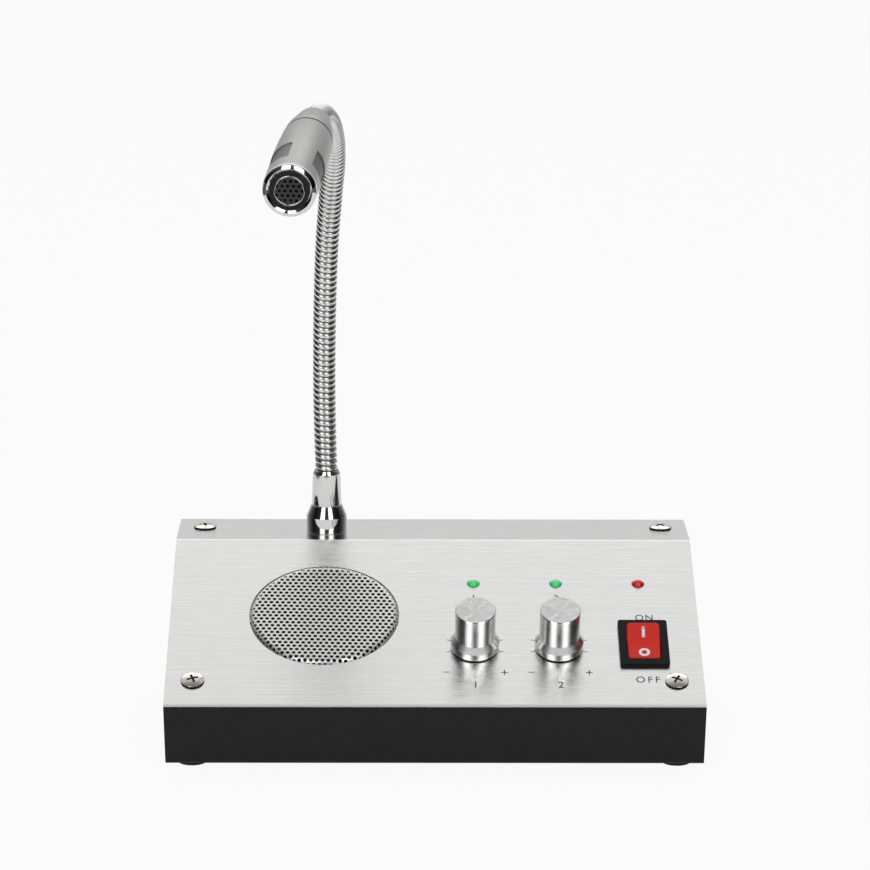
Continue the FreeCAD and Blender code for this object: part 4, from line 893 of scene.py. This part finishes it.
# %% The tube's middle line
bend_joints = [joints["neck_bend_%d" % (index + 1)] for index in range(10)]
low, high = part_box("neck_ferrule")
foot = Vector(((low.x + high.x) / 2, (low.y + high.y) / 2, high.z))
mic_turn = Matrix.Rotation(math.radians(97.5), 4, "X") @ Matrix.Rotation(math.radians(-4.3), 4, "Y")
mic_place = Matrix.Translation(Vector((-35.126, -84.863, 202.907)) * MM) @ mic_turn
mic_rear = mic_place.translation
mic_axis = mic_place.to_3x3() @ Vector((0.0, 0.0, 1.0))
stops = [foot - Vector((0.0, 0.0, 6.0 * MM)), foot] + [Vector(joint["pos_m"]) for joint in bend_joints]
stops += [mic_rear, mic_rear + mic_axis * 6.0 * MM]
line = bpy.data.curves.new("tube_line", "CURVE")
line.dimensions = "3D"
line.resolution_u = 32
spline = line.splines.new("BEZIER")
spline.bezier_points.add(len(stops) - 1)
for point, stop in zip(spline.bezier_points, stops):
    point.co = stop
    point.handle_left_type = point.handle_right_type = "AUTO"
tube_line = placed("tube_line", line)
traced = evaluated(tube_line)
trace = np.array([vertex.co for vertex in traced.vertices])
steps = np.linalg.norm(np.diff(trace, axis=0), axis=1)
lengths = np.concatenate([[0.0], np.cumsum(steps)])
bpy.data.meshes.remove(traced)
seams = [0.0] + [float(lengths[32 * (index + 2) + 16]) for index in range(9)] + [float(lengths[-1])]
print("tube line %.1f mm, %d points" % (lengths[-1] / MM, len(trace)))

# %% Recipe for a wound tube
wound = Recipe("wound_tube", line="Object", start="Float", end="Float", crest="Float", groove="Float",
               pitch="Float", rings="Int", around="Int", finish="Material")
inlet = wound.inlet
shape = wound.node("GeometryNodeMeshGrid", {"Size X": 1.0, "Size Y": 1.0, "Vertices X": inlet["rings"],
                                            "Vertices Y": inlet["around"] + 1.0})
grid_x, grid_y, _ = wound.split(wound.node("GeometryNodeInputPosition"))
distance = inlet["start"] + (grid_x + 0.5) * (inlet["end"] - inlet["start"])
angle = (grid_y + 0.5) * math.tau
path = wound.node("GeometryNodeObjectInfo", {"Object": inlet["line"]}, "Geometry")
path = wound.node("GeometryNodeSetCurveNormal", {0: path})
sample = wound.node("GeometryNodeSampleCurve", {"Curves": path, "Length": distance}, mode="LENGTH",
                    use_all_curves=True).socket.node.outputs
centre, tangent, normal = [Value(wound, sample[label]) for label in ("Position", "Tangent", "Normal")]
phase = (distance / inlet["pitch"] + (grid_y + 0.5)) % 1.0
swell = 1.0 - wound.function("ABSOLUTE", phase * 2.0 - 1.0) ** 2.4
out = inlet["groove"] + (inlet["crest"] - inlet["groove"]) * swell
side = wound.vector("CROSS_PRODUCT", tangent, normal)
reach = wound.vector("ADD", wound.scaled(normal, wound.function("COSINE", angle)),
                     wound.scaled(side, wound.function("SINE", angle)))
place = wound.vector("ADD", centre, wound.scaled(reach, out))
# The crest height is stored for the tube's finish, which paints shade into the grooves from it.
shape = wound.node("GeometryNodeStoreNamedAttribute", {"Geometry": shape, "Name": "crest", "Value": swell},
                   data_type="FLOAT", domain="POINT")
wound.close(wound.node("GeometryNodeMergeByDistance", {"Geometry": wound.moved(shape, place), "Distance": 0.00001}))

# %% Ten skins, one for each bend
rib_crest, rib_groove, rib_pitch = 3.6, 2.85, 2.124
neck_nodes = ["neck_root"] + ["neck_link_%d" % (index + 1) for index in range(9)] + ["neck_tip"]


def along_tube(distance):
    """Point of the middle line at a distance from its start."""
    return Vector([float(np.interp(distance, lengths, trace[:, axis])) for axis in range(3)])


for index in range(10):
    start, end = seams[index], seams[index + 1]
    mesh = wound.run(line=tube_line, start=start, end=end, crest=rib_crest * MM, groove=rib_groove * MM,
                     pitch=rib_pitch * MM, rings=int((end - start) / MM / rib_pitch * 10) + 1, around=44,
                     finish=finishes["tube_steel"].material)
    begin = along_tube(start)
    faced_outward(mesh, lambda face: (face.calc_center_median() - begin).dot(face.normal) * (face.index < 200))
    made = placed("neck_skin_%d" % (index + 1), mesh)
    mesh.shade_smooth()
    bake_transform(made)
    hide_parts(neck_nodes[index], neck_nodes[index + 1])
    print(made.name, len(mesh.polygons), "faces")
bpy.data.objects.remove(tube_line)

# %% [markdown]
# ## Foot of the gooseneck
# The collar is screwed down on the panel and the ferrule grips the tube. Both are chromed turned pieces, so a
# dense smooth outline matters more than anything else: chrome shows every facet.

# %% Collar and ferrule
collar_place = Matrix.Translation((foot.x, foot.y, bend.z))
collar_corners = [(3.6, 0.0, 0.0), (6.3, 0.0, 0.12), (6.5, 0.2, 0.1), (6.5, 5.0, 0.35), (4.95, 8.6, 0.5),
                  (4.85, 8.7, 0.0), (3.6, 8.7, 0.0)]
ferrule_corners = [(3.7, 8.7, 0.0), (4.75, 8.7, 0.1), (4.38, 19.0, 0.4), (3.8, 20.1, 0.15), (3.7, 20.1, 0.0)]
for node, corners in (("neck_collar", collar_corners), ("neck_ferrule", ferrule_corners)):
    piece(node + "_turned", lathe(corners, collar_place, 120), "case", "neck_chrome", replaced=[node])

# %% [markdown]
# ## Microphone head
# The head is a tapered satin barrel in two lengths with a fine groove between them, three slots with a fine
# screen behind, a bright ring in front and a black face round a small perforated disc. All of it is turned about
# one axis, so the pieces share the lathe and one place.

# %% Barrel
def wedge(start, end, middle, width, inner, outer, place, steps=20):
    """A block between two radii over an angle, for cutting a slot in a turned wall."""
    work = bmesh.new()
    columns = []
    for step in range(steps + 1):
        angle = math.radians(middle - width / 2 + width * step / steps)
        spot = Vector((math.cos(angle), math.sin(angle), 0.0))
        columns.append([work.verts.new(spot * radius + Vector((0.0, 0.0, high)))
                        for radius, high in ((inner, start), (outer, start), (outer, end), (inner, end))])
    for first, second in zip(columns, columns[1:]):
        for corner in range(4):
            after = (corner + 1) % 4
            work.faces.new((first[corner], first[after], second[after], second[corner]))
    work.faces.new(columns[0])
    work.faces.new(reversed(columns[-1]))
    bmesh.ops.recalc_face_normals(work, faces=work.faces)
    return taken(work, place @ Matrix.Scale(MM, 4))


def mic_part(name, node, slot, corners, segments=144, steps=5, finish=None, cutters=()):
    """A turned piece of the microphone head."""
    mesh = lathe(corners, mic_place, segments, steps)
    piece(name, cut_away(mesh, cutters) if cutters else mesh, "mic_head", slot, finish, replaced=[node])


slot_low, slot_high, slot_turn, slot_angle = 44.0, 57.0, 11.4, 65.0
slots = [wedge(slot_low, slot_high, slot_turn + 120.0 * index, slot_angle, 5.0, 8.5, mic_place) for index in range(3)]
mic_part("mic_rear_turned", "mic_rear_cone", "mic_satin", [
    (7.03, 18.3, 0.08), (6.8, 18.4, 0.0), (5.88, 18.4, 0.0), (5.88, 21.6, 0.0), (3.7, 21.6, 0.0), (3.7, 0.0, 0.0),
    (4.75, 0.0, 0.1), (5.0, 0.3, 0.25), (6.8, 13.5, 30.0)])
mic_part("mic_barrel_turned", "mic_body", "mic_satin", [
    (5.9, 18.5, 0.0), (6.82, 18.5, 0.0), (6.86, 19.2, 0.0), (7.1, 19.3, 0.08), (7.37, 29.3, 30.0), (7.5, 40.0, 30.0),
    (7.2, 63.4, 0.0), (5.9, 63.4, 0.0)], steps=8, cutters=slots)
mic_part("mic_screen_turned", "mic_screen", "mic_mesh", [
    (6.6, 43.9, 0.0), (7.0, 43.9, 0.0), (7.0, 57.1, 0.0), (6.6, 57.1, 0.0)], 96)

# %% Front ring, face and disc
mic_part("mic_ring_turned", "mic_front_ring", "mic_chrome", [
    (5.2, 63.4, 0.0), (7.2, 63.4, 0.0), (7.2, 64.6, 0.9), (6.1, 65.6, 0.1), (5.35, 64.9, 0.05), (5.2, 64.7, 0.0)],
    steps=10)
mic_part("mic_face_turned", "mic_face", "mic_black", [
    (4.0, 63.9, 0.0), (5.4, 63.9, 0.0), (5.4, 64.95, 0.0), (4.0, 64.95, 0.0)], 120)
mic_part("mic_disc_back", "mic_grille", "mic_mesh", [
    (0.0, 64.3, 0.0), (4.0, 64.3, 0.0), (4.0, 64.1, 0.0), (0.0, 64.1, 0.0)], 64, finish="mic_black")
mic_part("mic_disc_rim", "mic_grille", "mic_mesh", [
    (3.7, 64.6, 0.0), (4.12, 64.6, 0.0), (4.12, 65.2, 0.15), (3.7, 65.2, 0.15)], 96, finish="mic_chrome")
disc = sheet_of("mic_disc", mic_place @ Matrix.Translation((0.0, 0.0, 65.0 * MM)), 0.5, pitch=1.5, hole=0.95, rows=7,
                reach=3.9, flat=3.7, bend=0.35)
piece("mic_disc", disc, "mic_head", "mic_mesh", "mic_disc", replaced=["mic_grille"])

# %% [markdown]
# ## Floor, camera and light
# The floor is white and as plain as a sheet of paper. Two soft boxes stand in front, left and right, with a dark
# gap between them: bright chrome and brushed aluminium are only as good as what they reflect. The camera sees
# white, and mirrors see a room whose grey changes with the height of the view and darkens to both sides.

# %% Floor
floor_mesh = bpy.data.meshes.new("floor")
reach, front = 30.0, -0.5
floor_mesh.from_pydata([(-reach, front, 0), (reach, front, 0), (reach, reach, 0), (-reach, reach, 0)], [],
                       [(0, 1, 2, 3)])
floor = placed("floor", floor_mesh)
white, dim = (0.86, 0.86, 0.86), (0.15, 0.15, 0.15)
ground = Finish("floor_white", white, 0.9)
seen = ground.function("MAXIMUM", ground.ray("Camera"), ground.ray("Transmission"))
width, depth, _ = ground.split(ground.node("ShaderNodeTexCoord", output="Object"))
away = ground.function("GREATER_THAN", ground.function("ABSOLUTE", width), 0.45)
away = away * ground.function("LESS_THAN", depth, 0.25)
mirrored = ground.ray("Glossy")
ground.put(Base_Color=ground.mix(white, dim, away * mirrored))
seen = ground.function("MAXIMUM", seen * 0.93, mirrored * (1.0 - away) * 0.5)
glow = ground.node("ShaderNodeEmission", {"Color": (1.0, 1.0, 1.0, 1.0), "Strength": 1.0})
mixed = ground.node("ShaderNodeMixShader", {0: seen, 1: Value(ground, ground.shader.outputs[0]), 2: glow})
ground.tree.links.new(mixed.socket, ground.tree.nodes["Material Output"].inputs["Surface"])
floor_mesh.materials.append(ground.material)

# %% Camera
focal_pixels, picture_pixels, sensor_width = 3455.846, 870.0, 36.0
camera_data = bpy.data.cameras.new("camera")
camera_data.sensor_width = sensor_width
camera_data.lens = focal_pixels / picture_pixels * sensor_width
camera_data.clip_start, camera_data.clip_end = 0.01, 100.0
camera = placed("camera", camera_data)
look = Matrix(((0.999937, -0.00192028, -0.01105909), (-0.01032785, 0.22848177, -0.97349341),
               (0.00439618, 0.9735463, 0.22844754)))
camera.matrix_world = Matrix.Translation((-0.01174, -1.04435, 0.33901)) @ look.to_4x4()
bpy.context.scene.camera = camera

# %% Light
box_width, box_height, box_watts = 0.54, 1.7, 5.4
box_aim = Vector((0.0, 0.0, 0.35))
for name, side in (("left_box", -0.46), ("right_box", 0.46)):
    data = bpy.data.lights.new(name, "AREA")
    data.shape = "RECTANGLE"
    data.size, data.size_y, data.energy = box_width, box_height, box_watts
    lamp = placed(name, data)
    lamp.location = (side, -0.93, 0.85)
    lamp.rotation_euler = (box_aim - lamp.location).to_track_quat("-Z", "Y").to_euler()
print("lens %.1f mm, two soft boxes of %.1f W" % (camera_data.lens, box_watts))

bpy.context.scene.view_settings.view_transform = "Standard"
world = bpy.data.worlds.new("studio")
world.use_nodes = True
bpy.context.scene.world = world
sky = Wiring(world.node_tree)
side, depth, height = sky.split(sky.node("ShaderNodeTexCoord", output="Generated"))
level = sky.function("ARCTAN2", depth, height) / math.pi + 0.5
room = sky.node("ShaderNodeValToRGB", {"Fac": level},
                stops=[(place, (grey, grey, grey, 1.0)) for place, grey in (
                    (0.32, 0.05), (0.48, 0.3), (0.6, 0.9), (0.82, 1.0), (0.9, 0.7), (1.0, 0.66))])
window = sky.around(level, 0.77, 0.075) * sky.around(sky.function("ABSOLUTE", side), 0.22, 0.2)
strength = sky.function("MAXIMUM", 1.0 - side * side * 1.1, 0.06) * (0.93 + window * 0.6)
room = sky.vector("MULTIPLY", room, sky.join(strength, strength, strength))
room = sky.mix(room, (1.0, 1.0, 1.0), sky.ray("Camera"))
sky.tree.links.new(room.socket, sky.tree.nodes["Background"].inputs["Color"])
